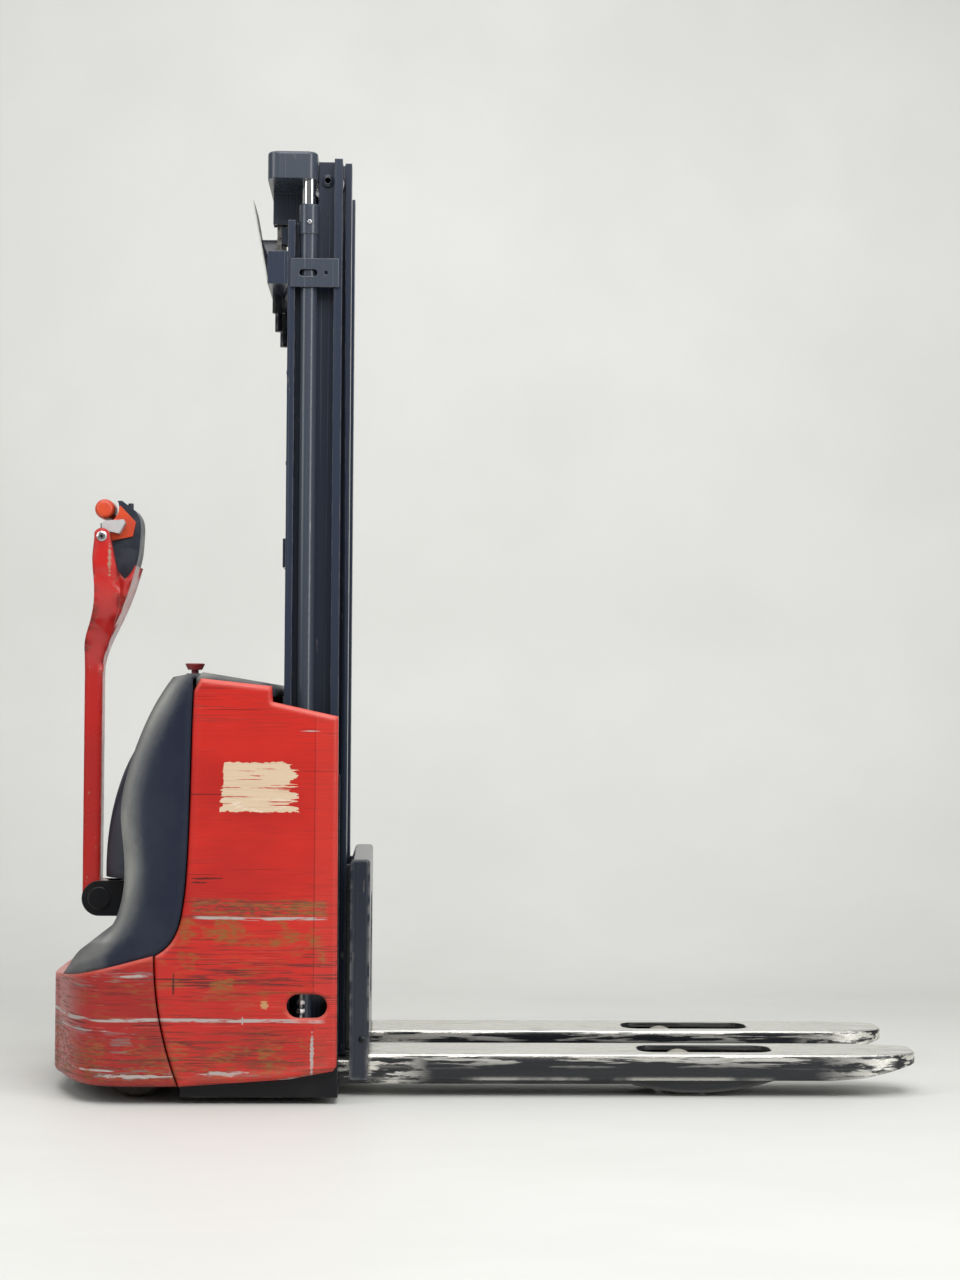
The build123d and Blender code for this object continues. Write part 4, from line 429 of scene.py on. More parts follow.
bands, given, put = new_group(
    "rubbed_band", "Mask", Height=0.3, Half_Width=0.02, Softness=0.01, Wobble=0.002, From_X=-1.0, To_X=1.0
)
axes = axes_of(given["Coordinates"])
waver = times(minus(noise(given["Coordinates"], 9.0, 2.0), 0.5), given["Wobble"])
from_middle = maths("ABSOLUTE", minus(plus(axes["Z"], waver), given["Height"]))
across = ramp(from_middle, plus(given["Half Width"], given["Softness"]), given["Half Width"])
back_end = ramp(axes["X"], given["From X"], plus(given["From X"], END_FADE))
front_end = ramp(axes["X"], given["To X"], minus(given["To X"], END_FADE))
bands.links.new(times(across, back_end, front_end), put)

# %% Ragged patches
TATTERS = (45, 45, 210)

patches, given, put = new_group("ragged_patch", "Mask", Centre=(0, 0, 0), Size=(1, 1, 1), Raggedness=0.5)
from_centre = vectors("SUBTRACT", given["Coordinates"], given["Centre"])
distance = vectors("LENGTH", vectors("DIVIDE", from_centre, given["Size"]))
tatters = noise(vectors("MULTIPLY", given["Coordinates"], TATTERS), 1.0, 5.0)
spread = times(minus(tatters, 0.5), given["Raggedness"], 3.0)
patches.links.new(ramp(plus(distance, spread), 1.05, 0.7), put)

# %% Worn edges
edges, given, put = new_group("worn_edges", "Mask", Radius=0.003, Breakup=60.0)
flat = add_node(edges, "ShaderNodeNewGeometry").outputs["Normal"]
edge_mask = ramp(vectors("DOT_PRODUCT", rounded(edges, given["Radius"], 4), flat), 0.995, 0.9)
chips = ramp(noise(given["Coordinates"], given["Breakup"], 4.0), 0.42, 0.58)
edges.links.new(times(edge_mask, chips), put)

# %% Dust
dust, given, put = new_group("settled_dust", "Mask", Start=0.3, Spread=0.6, Scale=14.0, Evenness=0.0)
upward = axes_of(add_node(dust, "ShaderNodeNewGeometry").outputs["Normal"])["Z"]
cover = ramp(upward, given["Start"], plus(given["Start"], given["Spread"]))
drift = ramp(noise(given["Coordinates"], given["Scale"], 6.0), 0.3, 0.7)
dust.links.new(times(cover, pick_value(drift, given["Evenness"], 1.0)), put)

# %% Moulded grain
grain, given, put = new_group("moulded_grain", "Height", Scale=900.0, Waviness=0.3)
pebbles = noise(given["Coordinates"], given["Scale"], 2.0)
swell = noise(given["Coordinates"], 12.0, 1.0)
grain.links.new(plus(pebbles, times(swell, given["Waviness"])), put)

# %% [markdown]
# ## Starting a material
# Every material reads Object coordinates, which are the truck's own metres because each object sits at the origin.
# The helpers below open a material, set the values that are the same all over, place the shared effects in it and
# feed the results to its Principled shader.

# %% Material helpers


def start_material(name, **values):
    """A new material, its object coordinates and its shader with these plain values."""
    material = bpy.data.materials.new(name)
    material.use_nodes = True
    shader = material.node_tree.nodes["Principled BSDF"]
    for label, value in values.items():
        shader.inputs[label.replace("_", " ")].default_value = value
    return material, material.node_tree.nodes.new("ShaderNodeTexCoord").outputs["Object"], shader


def effect(group, place, **values):
    """Places a shared effect in a material with its own values."""
    inputs = {"Coordinates": place, **{label.replace("_", " "): value for label, value in values.items()}}
    return add_node(tree_of(place), "ShaderNodeGroup", inputs, node_tree=group).outputs[0]


def scrape(place, stretch, threshold, softness, detail=4.0):
    """Scraped patches: the larger the stretch along an axis, the finer they are along it."""
    return effect(scrapes, place, Stretch=stretch, Threshold=threshold, Softness=softness, Detail=detail)


def bump(shader, height, depth, amount, edge_round=None):
    """Feeds a height through a Bump node of this depth in metres to the shader's normal, over rounded edges."""
    tree = shader.id_data
    made = add_node(tree, "ShaderNodeBump", {"Height": height, "Distance": depth, "Strength": amount})
    if edge_round:
        tree.links.new(rounded(tree, edge_round, 6), made.inputs["Normal"])
    tree.links.new(made.outputs["Normal"], shader.inputs["Normal"])


def feed(shader, **sockets):
    """Links results to the shader's inputs."""
    for label, value in sockets.items():
        shader.id_data.links.new(value, shader.inputs[label.replace("_", " ")])


print("effects:", [group.name for group in (scrapes, bands, patches, edges, dust, grain)])

# %% [markdown]
# ## The red paint
# The side panels and the bumper are glossy red, and years of pallets have drawn level scratches all along them. The
# paint is built in coats, as on the real truck: a slightly uneven red, then fine dark and pale scratches stretched
# along X, dense near the floor and along the top, brown and olive rub marks in bands, and long pale gouges. The
# bumper is darker and smeared with grey. A Bevel node rounds the edges in the shading, so that they catch the light,
# and where those rounded edges face up a paler red is laid on as a painted highlight.

# %% Red panel paint
RED = (0.5, 0.018, 0.011, 1)
RED_DEEP = (0.4, 0.013, 0.009, 1)
RED_BUMPER = (0.36, 0.012, 0.009, 1)
RED_WORN = (0.26, 0.012, 0.01, 1)
RED_PALE_AND_HIGHLIGHT = (0.62, 0.11, 0.08, 1)
RUB_DARK_AND_SHADE = (0.045, 0.01, 0.007, 1)
RUB_BROWN = (0.1, 0.032, 0.014, 1)
RUB_OLIVE = (0.22, 0.095, 0.02, 1)
GOUGE = (0.38, 0.35, 0.33, 1)
TAN = (0.45, 0.26, 0.11, 1)
SMEAR_GREY = (0.2, 0.195, 0.19, 1)
PANEL_ROUND = 0.014
FACE_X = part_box("fork_carriage")[1].x
RIGHT_SIDE_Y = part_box("side_panel_right")[0].y


def behind(distance):
    """X of a point this many millimetres behind the fork face."""
    return FACE_X - distance * MM


def mark(place, distance, height, half_length, half_height, ragged=0.5):
    """A ragged mark on the right-hand side, placed and sized in millimetres."""
    return effect(patches, place, Centre=(behind(distance), RIGHT_SIDE_Y, height * MM),
                  Size=(half_length * MM, 0.3, half_height * MM), Raggedness=ragged)


def marks(place, rows):
    """The strongest of several ragged marks."""
    return most(*[mark(place, *row) for row in rows])


def band(place, height, half, softness, wobble, start, end):
    """A rubbed band in millimetres, between two distances behind the fork face."""
    return effect(bands, place, Height=height * MM, Half_Width=half * MM, Softness=softness * MM,
                  Wobble=wobble * MM, From_X=behind(start), To_X=behind(end))


# Each row of marks: how far behind the fork face, how high, half the length, half the height, and how ragged.
DARK_MARKS = [(388, 440, 12, 5, 0.7), (330, 460, 34, 2.5, 0.9), (395, 246, 3, 22, 0.6), (345, 452, 18, 2, 0.8)]
OLIVE_MARKS = [(385, 300, 40, 34, 0.4), (120, 300, 36, 34, 0.4), (300, 255, 30, 30, 0.4), (180, 95, 75, 32, 0.4)]


def scratched_red(name, tone, grey_marks, pale_marks):
    """The truck's red paint: scratches, rub bands, gouges, own grey and pale marks, and painted top-edge highlights."""
    material, place, shader = start_material(name, Coat_Weight=0.06, Coat_Roughness=0.12, IOR=1.45)
    height = axes_of(place)["Z"]
    density = most(ramp(height, 0.5, 0.3), times(ramp(height, 0.7, 0.82), 0.7), 0.22)
    uneven = scrape(place, (3, 3, 6), 0.35, 0.35, 3.0)
    clumps = scrape(place, (5, 5, 13), 0.42, 0.2, 3.0)
    dashes = times(scrape(place, (9, 9, 300), 0.535, 0.05, 6.0), density, pick_value(clumps, 0.4, 1.0))
    lines = scrape(place, (2.5, 2.5, 210), 0.64, 0.03, 3.0)
    bright = times(scrape(place, (8, 8, 460), 0.65, 0.05, 3.0), density)

    speckle = scrape(place, (55, 55, 230), 0.45, 0.12, 6.0)
    blotch = scrape(place, (13, 13, 24), 0.44, 0.14, 3.0)
    streaks = scrape(place, (16, 16, 240), 0.46, 0.14, 5.0)
    breaks = scrape(place, (20, 20, 190), 0.38, 0.12, 6.0)
    upper_rub = band(place, 400, 13, 8, 12, 368, 76)
    olive_rub = most(band(place, 349, 18, 14, 40, 395, 84), marks(place, OLIVE_MARKS))
    foot_rub = band(place, 95, 30, 40, 60, 690, 76)
    waist_rub = band(place, 240, 30, 50, 90, 690, 90)
    gouges = most(band(place, 379, 2.2, 1.6, 8, 361, 80), band(place, 173, 2.6, 2.0, 9, 700, 84))
    gouges = most(times(gouges, breaks), marks(place, pale_marks))
    rims = effect(edges, place, Radius=0.003, Breakup=45.0)
    # Painted highlight: where the edges, rounded in the shading, face up, a pale red is painted on.
    upward = axes_of(rounded(material.node_tree, PANEL_ROUND * 1.6, 10))["Z"]

    colour = coats(
        layer(uneven, *tone),
        (dashes, 0.82, RUB_DARK_AND_SHADE),
        (lines, 0.75, RUB_DARK_AND_SHADE),
        (bright, 0.65, RED_PALE_AND_HIGHLIGHT),
        (times(upper_rub, speckle), 0.8, RUB_BROWN),
        (times(upper_rub, streaks), 0.75, RUB_OLIVE),
        (times(upper_rub, dashes), 0.8, RUB_DARK_AND_SHADE),
        (times(olive_rub, pick_value(speckle, 0.35, 1.0), blotch), 0.9, RUB_OLIVE),
        (times(foot_rub, streaks), 0.65, RUB_BROWN),
        (times(foot_rub, speckle, blotch), 0.6, RUB_OLIVE),
        (times(waist_rub, streaks, blotch), 0.5, RUB_OLIVE),
        (times(marks(place, grey_marks), streaks), 0.45, SMEAR_GREY),
        (marks(place, DARK_MARKS), 0.85, RUB_DARK_AND_SHADE),
        (gouges, 0.92, GOUGE),
        (rims, 0.35, RUB_DARK_AND_SHADE),
        (ramp(upward, 0.15, 0.5), 0.75, RED_PALE_AND_HIGHLIGHT),
    )
    wear = most(dashes, times(foot_rub, speckle), upper_rub)
    feed(shader, Base_Color=colour, Roughness=pick_value(wear, 0.3, 0.6))
    depth = plus(dashes, plus(gouges, times(speckle, 0.4)))
    bump(shader, minus(1.0, depth), 0.0002, 0.2, PANEL_ROUND)
    return material, place, shader, colour


PANEL_GREY = [(250, 66, 120, 7, 0.8), (128, 53, 60, 9, 0.8)]
PANEL_PALE = [(114, 104, 4, 46, 0.8), (290, 66, 44, 5, 0.9), (128, 53, 40, 5, 0.9),
              (255, 173, 2, 9, 0.5), (121, 760, 20, 1.5, 0.6)]
BUMPER_GREY = [(480, 262, 75, 14, 0.9), (600, 146, 110, 11, 0.8), (500, 126, 24, 34, 0.5), (465, 64, 90, 13, 1.0),
               (590, 240, 60, 10, 1.0)]
BUMPER_PALE = [(470, 60, 60, 4, 1.0), (478, 262, 34, 3, 1.0), (610, 150, 80, 1.5, 0.9), (560, 70, 40, 2, 0.9)]
panel_red, place, shader, colour = scratched_red("panel_red", (RED, RED_DEEP), PANEL_GREY, PANEL_PALE)
bumper_red = scratched_red("bumper_red", (RED_BUMPER, RED_WORN), BUMPER_GREY, BUMPER_PALE)[0]
finishes["red_panel"] = panel_red
print("materials:", panel_red.name, bumper_red.name)

# %% [markdown]
# ### A torn remnant of paper
# A blank sheet was once pasted high on the right-hand panel. What is left is a beige rectangle with ragged ends, level
# tears that show the paint, and a paler lower edge. It is a mask in the panel's paint, because paper has no thickness.

# %% Torn paper
PAPER = (0.6, 0.46, 0.32, 1)
PAPER_PALE = (0.7, 0.6, 0.5, 1)
PAPER_DARK = (0.42, 0.31, 0.21, 1)
PAPER_TEARS = [(186, 644, 48, 1.4, 0.9), (273, 626, 34, 1.0, 0.9), (176, 616, 38, 1.2, 0.9), (236, 661, 44, 0.8, 0.9)]
axes = axes_of(place)
colour = coats(
    colour,
    (mark(place, 211, 204, 9, 9, 0.6), 0.9, TAN),
    # Painted highlight: a faint pale strip along the panel's front edge, where it is folded.
    (ramp(axes["X"], behind(112), behind(110)), 0.1, RED_PALE_AND_HIGHLIGHT),
    # Painted shade: a thin dark upright line along the fold of the panel's front edge.
    (mark(place, 112, 470, 1.4, 390, 0.2), 0.45, RUB_DARK_AND_SHADE),
)
tears = noise(place, 75.0, 4.0)
strips = scrape(place, (3, 3, 95), 0.4, 0.2, 3.0)
ragged_end = plus(times(tears, 0.012), times(strips, 0.02))
rough_edge = times(tears, 0.014)
back = ramp(minus(axes["X"], times(ragged_end, 0.4)), behind(308), behind(307))
front = ramp(plus(axes["X"], ragged_end), behind(138), behind(139))
low = ramp(minus(axes["Z"], rough_edge), 0.588, 0.589)
high = ramp(plus(axes["Z"], rough_edge), 0.703, 0.702)
right_side = ramp(axes["Y"], -0.2, -0.21)
corner = ramp(minus(axes["Z"], axes["X"]), 0.7 - behind(296), 0.698 - behind(296))
splits = most(scrape(place, (7, 7, 130), 0.58, 0.01, 5.0), marks(place, PAPER_TEARS))
sheet = times(back, front, low, high, corner, right_side, minus(1.0, splits))
fibre = scrape(place, (9, 9, 420), 0.5, 0.25, 5.0)
bare_patches = times(scrape(place, (30, 30, 120), 0.55, 0.05), ramp(axes["Z"], 0.64, 0.6))
paper = coats(PAPER, (fibre, 0.7, PAPER_DARK), (bare_patches, 0.8, PAPER_PALE))
feed(shader, Base_Color=layer(sheet, colour, paper))
print("paper from", round(behind(308), 3), "to", round(behind(138), 3))

# %% [markdown]
# ## The tiller's red casting
# The tiller is cast and painted in a deeper red, smooth and rather glossy, with a pale worn streak down the outside
# of each side arm where hands and walls have rubbed it to the primer.

# %% Tiller paint
CAST_RED = (0.5, 0.017, 0.014, 1)
CAST_DEEP = (0.42, 0.014, 0.012, 1)
PRIMER = (0.34, 0.24, 0.17, 1)
casting_red, place, shader = start_material("casting_red", Coat_Weight=0.2, Coat_Roughness=0.12)
uneven = scrape(place, (9, 9, 6), 0.35, 0.3)
nicks = scrape(place, (60, 60, 26), 0.68, 0.03)
streak = effect(patches, place, Centre=(-0.806, 0, 1.12), Size=(0.004, 0.3, 0.04), Raggedness=0.9)
outside = ramp(maths("ABSOLUTE", axes_of(place)["Y"]), 0.09, 0.1)
rims = effect(edges, place, Radius=0.004, Breakup=26.0)
colour = layer(uneven, CAST_RED, CAST_DEEP)
colour = coats(colour, (nicks, 0.5, PRIMER), (times(streak, outside), 0.8, PRIMER), (rims, 0.5, PRIMER))
feed(shader, Base_Color=colour, Roughness=pick_value(uneven, 0.2, 0.3))
bump(shader, effect(grain, place, Scale=160.0, Waviness=1.0), 0.0003, 0.2, 0.02)
finishes["red_casting"] = casting_red
print("material:", casting_red.name)

# %% [markdown]
# ## Charcoal covers
# The shroud, the hood and the battery cover are moulded in a blue-black plastic with a fine grain; the battery
# cover's base is a paler grey, a painted highlight for the light on its top. Dust and years of hands turn what
# faces up and back a pale grey, and the same grey is a painted highlight on the rims, so the rim of each wing stands
# out from its dark side. The dust and highlight are thickest along the rims, and the broad rear faces keep less of
# them.

# %% Charcoal plastic
CHARCOAL = (0.0085, 0.0125, 0.029, 1)
CHARCOAL_WORN = (0.017, 0.022, 0.038, 1)
# The battery cover's paler grey base is a painted highlight for the light on its rounded top.
LID_HIGHLIGHT_GREY = (0.09, 0.095, 0.1, 1)
# Pale grey for dust; on the charcoal rims it is also a painted highlight.
DUST_AND_SHEEN = (0.31, 0.312, 0.288, 1)
SCUFF = (0.1, 0.1, 0.1, 1)
RIM_ROUND = 0.052
BACK_AND_UP = (-0.82, 0, 0.57)


def charcoal_cover(name, sheen_and_dust, base):
    """Moulded plastic with a fine grain, and dust with a painted highlight where its rounded form faces up and back."""
    material, place, shader = start_material(name, Specular_IOR_Level=0.3)
    uneven = scrape(place, (6, 6, 4), 0.4, 0.3)
    scuffs = scrape(place, (30, 30, 14), 0.67, 0.04)
    drift = scrape(place, (14, 14, 9), 0.3, 0.4)
    backward = vectors("DOT_PRODUCT", rounded(material.node_tree, RIM_ROUND, 10), BACK_AND_UP)
    broad = pick_value(ramp(backward, 0.72, 0.92), 1.0, 0.3)
    # Dust, and a painted highlight where the rounded rims face up and back.
    rim_dust_and_highlight = times(ramp(backward, 0.2, 0.36), broad, pick_value(drift, 0.65, 1.0))
    colour = coats(layer(uneven, base, CHARCOAL_WORN), (scuffs, 0.3, SCUFF), (rim_dust_and_highlight, sheen_and_dust, DUST_AND_SHEEN))
    feed(shader, Base_Color=colour, Roughness=pick_value(rim_dust_and_highlight, 0.42, 0.72))
    bump(shader, effect(grain, place, Scale=700.0, Waviness=0.6), 0.0004, 0.2, 0.02)
    return material


finishes["charcoal_cover"] = charcoal_cover("shroud_charcoal", 0.85, CHARCOAL)
hood_charcoal = charcoal_cover("hood_charcoal", 0.12, CHARCOAL)
lit_lid_charcoal = charcoal_cover("lit_lid_charcoal", 0.95, LID_HIGHLIGHT_GREY)
print("materials:", hood_charcoal.name, lit_lid_charcoal.name)

# %% [markdown]
# ## Mast, chassis and fork steel
# The mast is rolled steel with satin blue-black paint; the rollers keep faint upright lines polished on it. The forks
# wear fastest: their paint survives on the sides, and their tops, top edges and noses are streaked, shiny steel.

# %% Mast paint
MAST_BLUE = (0.022, 0.029, 0.048, 1)
MAST_WORN = (0.075, 0.085, 0.1, 1)
MAST_PALE = (0.04, 0.049, 0.066, 1)
CARRIAGE_BLUE = (0.017, 0.021, 0.034, 1)
CHIP = (0.18, 0.17, 0.15, 1)
RIM_STEEL = (0.19, 0.19, 0.19, 1)


def steel_paint(name, base, edge_wear, wear_radius):
    """Satin paint on rolled steel, with upright polished lines, chips and worn edges."""
    material, place, shader = start_material(name, Specular_IOR_Level=0.42)
    drawn = scrape(place, (260, 260, 1.2), 0.56, 0.14)
    chips = scrape(place, (80, 80, 16), 0.68, 0.03)
    rims = effect(edges, place, Radius=wear_radius, Breakup=25.0)
    colour = coats(base, (drawn, 0.3, MAST_WORN), (chips, 0.4, CHIP), (rims, edge_wear, RIM_STEEL))
    feed(shader, Base_Color=colour, Roughness=pick_value(drawn, 0.22, 0.36))
    bump(shader, effect(grain, place, Scale=220.0, Waviness=0.8), 0.0002, 0.15, 0.0025)
    return material


mast_paint = steel_paint("mast_paint", MAST_BLUE, 0.6, 0.002)
pale_paint = steel_paint("pale_mast_paint", MAST_PALE, 0.6, 0.002)
carriage_paint = steel_paint("carriage_paint", CARRIAGE_BLUE, 1.0, 0.012)
finishes["mast_steel"] = mast_paint

# %% Chassis paint
# Near black: the chassis paint, darkened further as a painted shade so it blends into the shadow under the truck.
CHASSIS_BLACK_AND_SHADE = (0.0045, 0.005, 0.007, 1)
CHASSIS_GRIME = (0.01, 0.01, 0.011, 1)
CHASSIS_RIM = (0.16, 0.16, 0.16, 1)
chassis_paint, place, shader = start_material("chassis_paint", Specular_IOR_Level=0.25)
grime = scrape(place, (14, 14, 14), 0.45, 0.2)
rims = effect(edges, place, Radius=0.003, Breakup=40.0)
settled = effect(dust, place, Start=0.4, Scale=20.0)
colour = coats(layer(grime, CHASSIS_BLACK_AND_SHADE, CHASSIS_GRIME), (rims, 0.35, CHASSIS_RIM), (settled, 0.2, DUST_AND_SHEEN))
feed(shader, Base_Color=colour, Roughness=pick_value(grime, 0.38, 0.6))
bump(shader, effect(grain, place, Scale=260.0, Waviness=0.8), 0.0003, 0.2, 0.003)
finishes["chassis_steel"] = chassis_paint

# %% Worn fork steel
FORK_PAINT = (0.008, 0.009, 0.012, 1)
FORK_BARE = (0.76, 0.745, 0.69, 1)
FORK_STAIN = (0.16, 0.14, 0.11, 1)
FORK_MIDDLE = (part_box("fork_left")[0].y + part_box("fork_left")[1].y) / 2
fork_worn, place, shader = start_material("fork_worn")
streak = scrape(place, (4, 170, 170), 0.45, 0.18, 5.0)
rubbed = effect(dust, place, Start=0.25, Spread=0.3, Scale=5.0, Evenness=0.92)
fork_axes = axes_of(place)
reach = fork_axes["X"]
across = maths("ABSOLUTE", minus(maths("ABSOLUTE", fork_axes["Y"]), FORK_MIDDLE))
outer_edge = ramp(across, 0.07, 0.08)
rims = times(effect(edges, place, Radius=0.013, Breakup=7.0), outer_edge)
chips = scrape(place, (14, 40, 70), 0.45, 0.1, 5.0)
nose = times(ramp(reach, 0.68, 0.86), chips)
worn = scrape(place, (5, 30, 75), 0.5, 0.06, 6.0)
upper_side = ramp(fork_axes["Z"], 0.056, 0.09)
heel = times(ramp(reach, -0.1, -0.2), chips)
side_wear = times(worn, upper_side, outer_edge)
bare = most(times(rubbed, pick_value(streak, 0.8, 1.0)), rims, nose, side_wear, heel)
stains = times(scrape(place, (9, 60, 60), 0.57, 0.08), bare)
colour = coats(layer(bare, FORK_PAINT, FORK_BARE), (stains, 0.5, FORK_STAIN))
feed(shader, Base_Color=colour, Metallic=times(bare, 0.85), Roughness=pick_value(streak, 0.2, 0.36))
bump(shader, streak, 0.0002, 0.2, 0.01)
finishes["fork_steel"] = fork_worn
print("materials:", mast_paint.name, chassis_paint.name, fork_worn.name)

# %% [markdown]
# ## Bright steel, chain, rubber and plastics
# The remaining finishes are simpler, but none is one flat colour: turned steel has fine rings, an oiled chain is dark
# in its joints, tyres carry floor dust, and moulded switches have a soft grain.

# %% Metals


def metal(name, colour_a, colour_b, rough_a, rough_b, stretch):
    """A bare metal whose colour and roughness vary along fine marks."""
    material, place, shader = start_material(name, Metallic=1.0)
    lines = scrape(place, stretch, 0.4, 0.25, 3.0)
    feed(shader, Base_Color=layer(lines, colour_a, colour_b), Roughness=pick_value(lines, rough_a, rough_b))
    bump(shader, lines, 0.0002, 0.2)
    return material


finishes["bare_steel"] = metal("machined_steel", (0.5, 0.5, 0.51, 1), (0.36, 0.36, 0.37, 1), 0.25, 0.4, (90, 300, 90))
finishes["rod_chrome"] = metal("rod_chrome", (0.8, 0.8, 0.82, 1), (0.7, 0.7, 0.73, 1), 0.06, 0.12, (500, 500, 6))
finishes["chain_steel"] = metal("oiled_chain", (0.2, 0.19, 0.18, 1), (0.06, 0.055, 0.05, 1), 0.3, 0.5, (120, 120, 120))
dark_steel = metal("blackened_steel", (0.05, 0.052, 0.058, 1), (0.02, 0.021, 0.024, 1), 0.35, 0.5, (150, 150, 60))
zinc = metal("zinc_plated", (0.85, 0.85, 0.82, 1), (0.7, 0.7, 0.68, 1), 0.35, 0.5, (200, 200, 200))

# %% Plastics and rubber


def moulded(name, colour_a, colour_b, rough_a, rough_b, grain_scale=800.0, sheen_and_dust=0.2):
    """A moulded plastic or rubber with mottling, grain and a little dust."""
    material, place, shader = start_material(name)
    mottle = scrape(place, (30, 30, 30), 0.4, 0.25)
    settled = effect(dust, place, Start=0.3, Scale=40.0)
    colour = coats(layer(mottle, colour_a, colour_b), (settled, sheen_and_dust, DUST_AND_SHEEN))
    feed(shader, Base_Color=colour, Roughness=pick_value(mottle, rough_a, rough_b))
    bump(shader, effect(grain, place, Scale=grain_scale, Waviness=0.4), 0.0003, 0.2, 0.0015)
    return material


finishes["wheel_tread"] = moulded("tread_rubber", (0.06, 0.05, 0.04, 1), (0.12, 0.1, 0.075, 1), 0.55, 0.75, 400.0, 0.4)
pale_tread = moulded("pale_tread", (0.3, 0.27, 0.22, 1), (0.22, 0.2, 0.165, 1), 0.4, 0.55, 400.0, 0.3)
MOULDED = {
    "pale_plate": ((0.6, 0.6, 0.56, 1), (0.5, 0.5, 0.46, 1), 0.4, 0.55),
    "head_plastic": ((0.016, 0.021, 0.034, 1), (0.026, 0.031, 0.045, 1), 0.34, 0.48),
    "orange_plastic": ((0.6, 0.07, 0.022, 1), (0.5, 0.05, 0.018, 1), 0.3, 0.42),
    "grey_plastic": ((0.46, 0.46, 0.46, 1), (0.38, 0.38, 0.38, 1), 0.38, 0.5),
    "stop_red": ((0.24, 0.014, 0.016, 1), (0.17, 0.011, 0.013, 1), 0.3, 0.45),
    "battery_case": ((0.02, 0.02, 0.021, 1), (0.035, 0.035, 0.036, 1), 0.45, 0.6),
}
for slot, row in MOULDED.items():
    finishes[slot] = moulded(slot, *row)

clear_sheet, place, shader = start_material("clear_sheet", Transmission_Weight=1.0, IOR=1.45)
haze = scrape(place, (40, 40, 8), 0.45, 0.3)
cloudy = layer(haze, (0.95, 0.96, 0.97, 1), (0.86, 0.88, 0.9, 1))
feed(shader, Base_Color=cloudy, Roughness=pick_value(haze, 0.04, 0.16))
finishes["clear_sheet"] = clear_sheet
print("finishes:", sorted(finishes))

# %% [markdown]
# ## Nuts, screws and studs
# Small fasteners tell the eye how large a machine is. Each kind is modelled once, standing on the origin and pointing
# up, and copies are turned to where the real ones sit. A nut starts as a six-sided cylinder: its rim is bevelled, its
# top inset and sunk for the bore. A screw head is the same with more sides. A threaded stud is one ridge, repeated by
# an Array modifier whose copies are merged.

# %% Fastener masters
QUARTER = math.pi / 2
FACINGS = {
    "right": Matrix.Rotation(QUARTER, 4, "X"),
    "left": Matrix.Rotation(-QUARTER, 4, "X"),
    "back": Matrix.Rotation(-QUARTER, 4, "Y"),
}


def at(point, facing):
    """The place of a copy whose top faces the truck's right, left or back."""
    return Matrix.Translation(point) @ FACINGS[facing]


def both_sides(x, z, right_y, left_y):
    """The places of two copies that face outwards on the truck's two sides."""
    return [at((x, right_y, z), "right"), at((x, left_y, z), "left")]


def fastener(sides, across, height, bore, sink):
    """A nut or a screw head: the width across its flats, its height, and its bore's width and depth."""
    piece = round_bar(sides, across / 2 / math.cos(math.pi / sides), height)
    chamfer = height * 0.15
    pick("EDGE", lambda centre, along: abs(along.z) < 0.1 and centre.z > height * 0.9)
    bpy.ops.mesh.bevel(offset=chamfer, segments=2)
    pick("FACE", lambda centre, normal: normal.z > 0.9 and centre.z > height * 0.95)
    bpy.ops.mesh.inset(thickness=(across - bore) / 2 - chamfer)
    extrude(0, 0, -sink)
    return piece


def fasten(name, size, places, body, slot="bare_steel", finish=None):
    """A piece made of copies of one fastener, on a body."""
    finish_piece(join_copies(fastener(*size), places, name), body, slot, finish=finish)
    print(name, "on", body, "copies:", len(places))


def threaded_stud(radius, pitch, turns):
    """One ridge of a thread, repeated upwards, with closed ends."""
    root = 0.86
    piece = round_bar(12, radius * root, pitch)
    pick("FACE", lambda centre, normal: abs(normal.z) > 0.9)
    bpy.ops.mesh.delete(type="FACE")
    pick("EDGE", lambda centre, along: abs(along.z) > 0.9)
    bpy.ops.mesh.subdivide(number_cuts=1)
    pick("VERT", lambda point, normal: abs(point.z - pitch / 2) < pitch / 10)
    bpy.ops.transform.resize(value=(1 / root, 1 / root, 1), center_override=(0, 0, pitch / 2))
    use_modifier("ARRAY", count=turns, use_relative_offset=False, use_constant_offset=True,
                 constant_offset_displace=(0, 0, pitch), use_merge_vertices=True, merge_threshold=pitch / 50)
    bpy.ops.object.mode_set(mode="EDIT")
    bpy.ops.mesh.select_all(action="SELECT")
    bpy.ops.mesh.fill_holes(sides=0)
    bpy.ops.mesh.normals_make_consistent(inside=False)
    return piece


print("facings:", list(FACINGS))

# %% [markdown]
# ## Leaf chains
# Each lift chain is a leaf chain: flat plates, laced side by side, on riveted pins. From the mast's anchors it climbs
# behind the sheave, wraps over it and runs down to the carriage. One plate is a block whose four corners are bevelled;
# copies of it and a pin make an outer and an inner link. The runs repeat the two links with an Array modifier, and the
# wraps turn them round the sheave one by one. The front run and the wraps ride on the inner mast, and the rear run,
# which is shared by the two masts, rides on no body.

# %% Chain links
CHAIN_HALF = 0.0095
CHAIN_Y = (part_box("lift_chains_front")[1].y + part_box("chain_sheaves")[1].y) / 2 - CHAIN_HALF
PLATE_WIDTH = 0.0092
PLATE_THICK = 0.0016
PIN_RADIUS = 0.0023
PIN_LENGTH = 0.0164
OUTER_LEAVES = (-0.007, -0.0023, 0.0023, 0.007)
INNER_LEAVES = (-0.0047, 0.0, 0.0047)


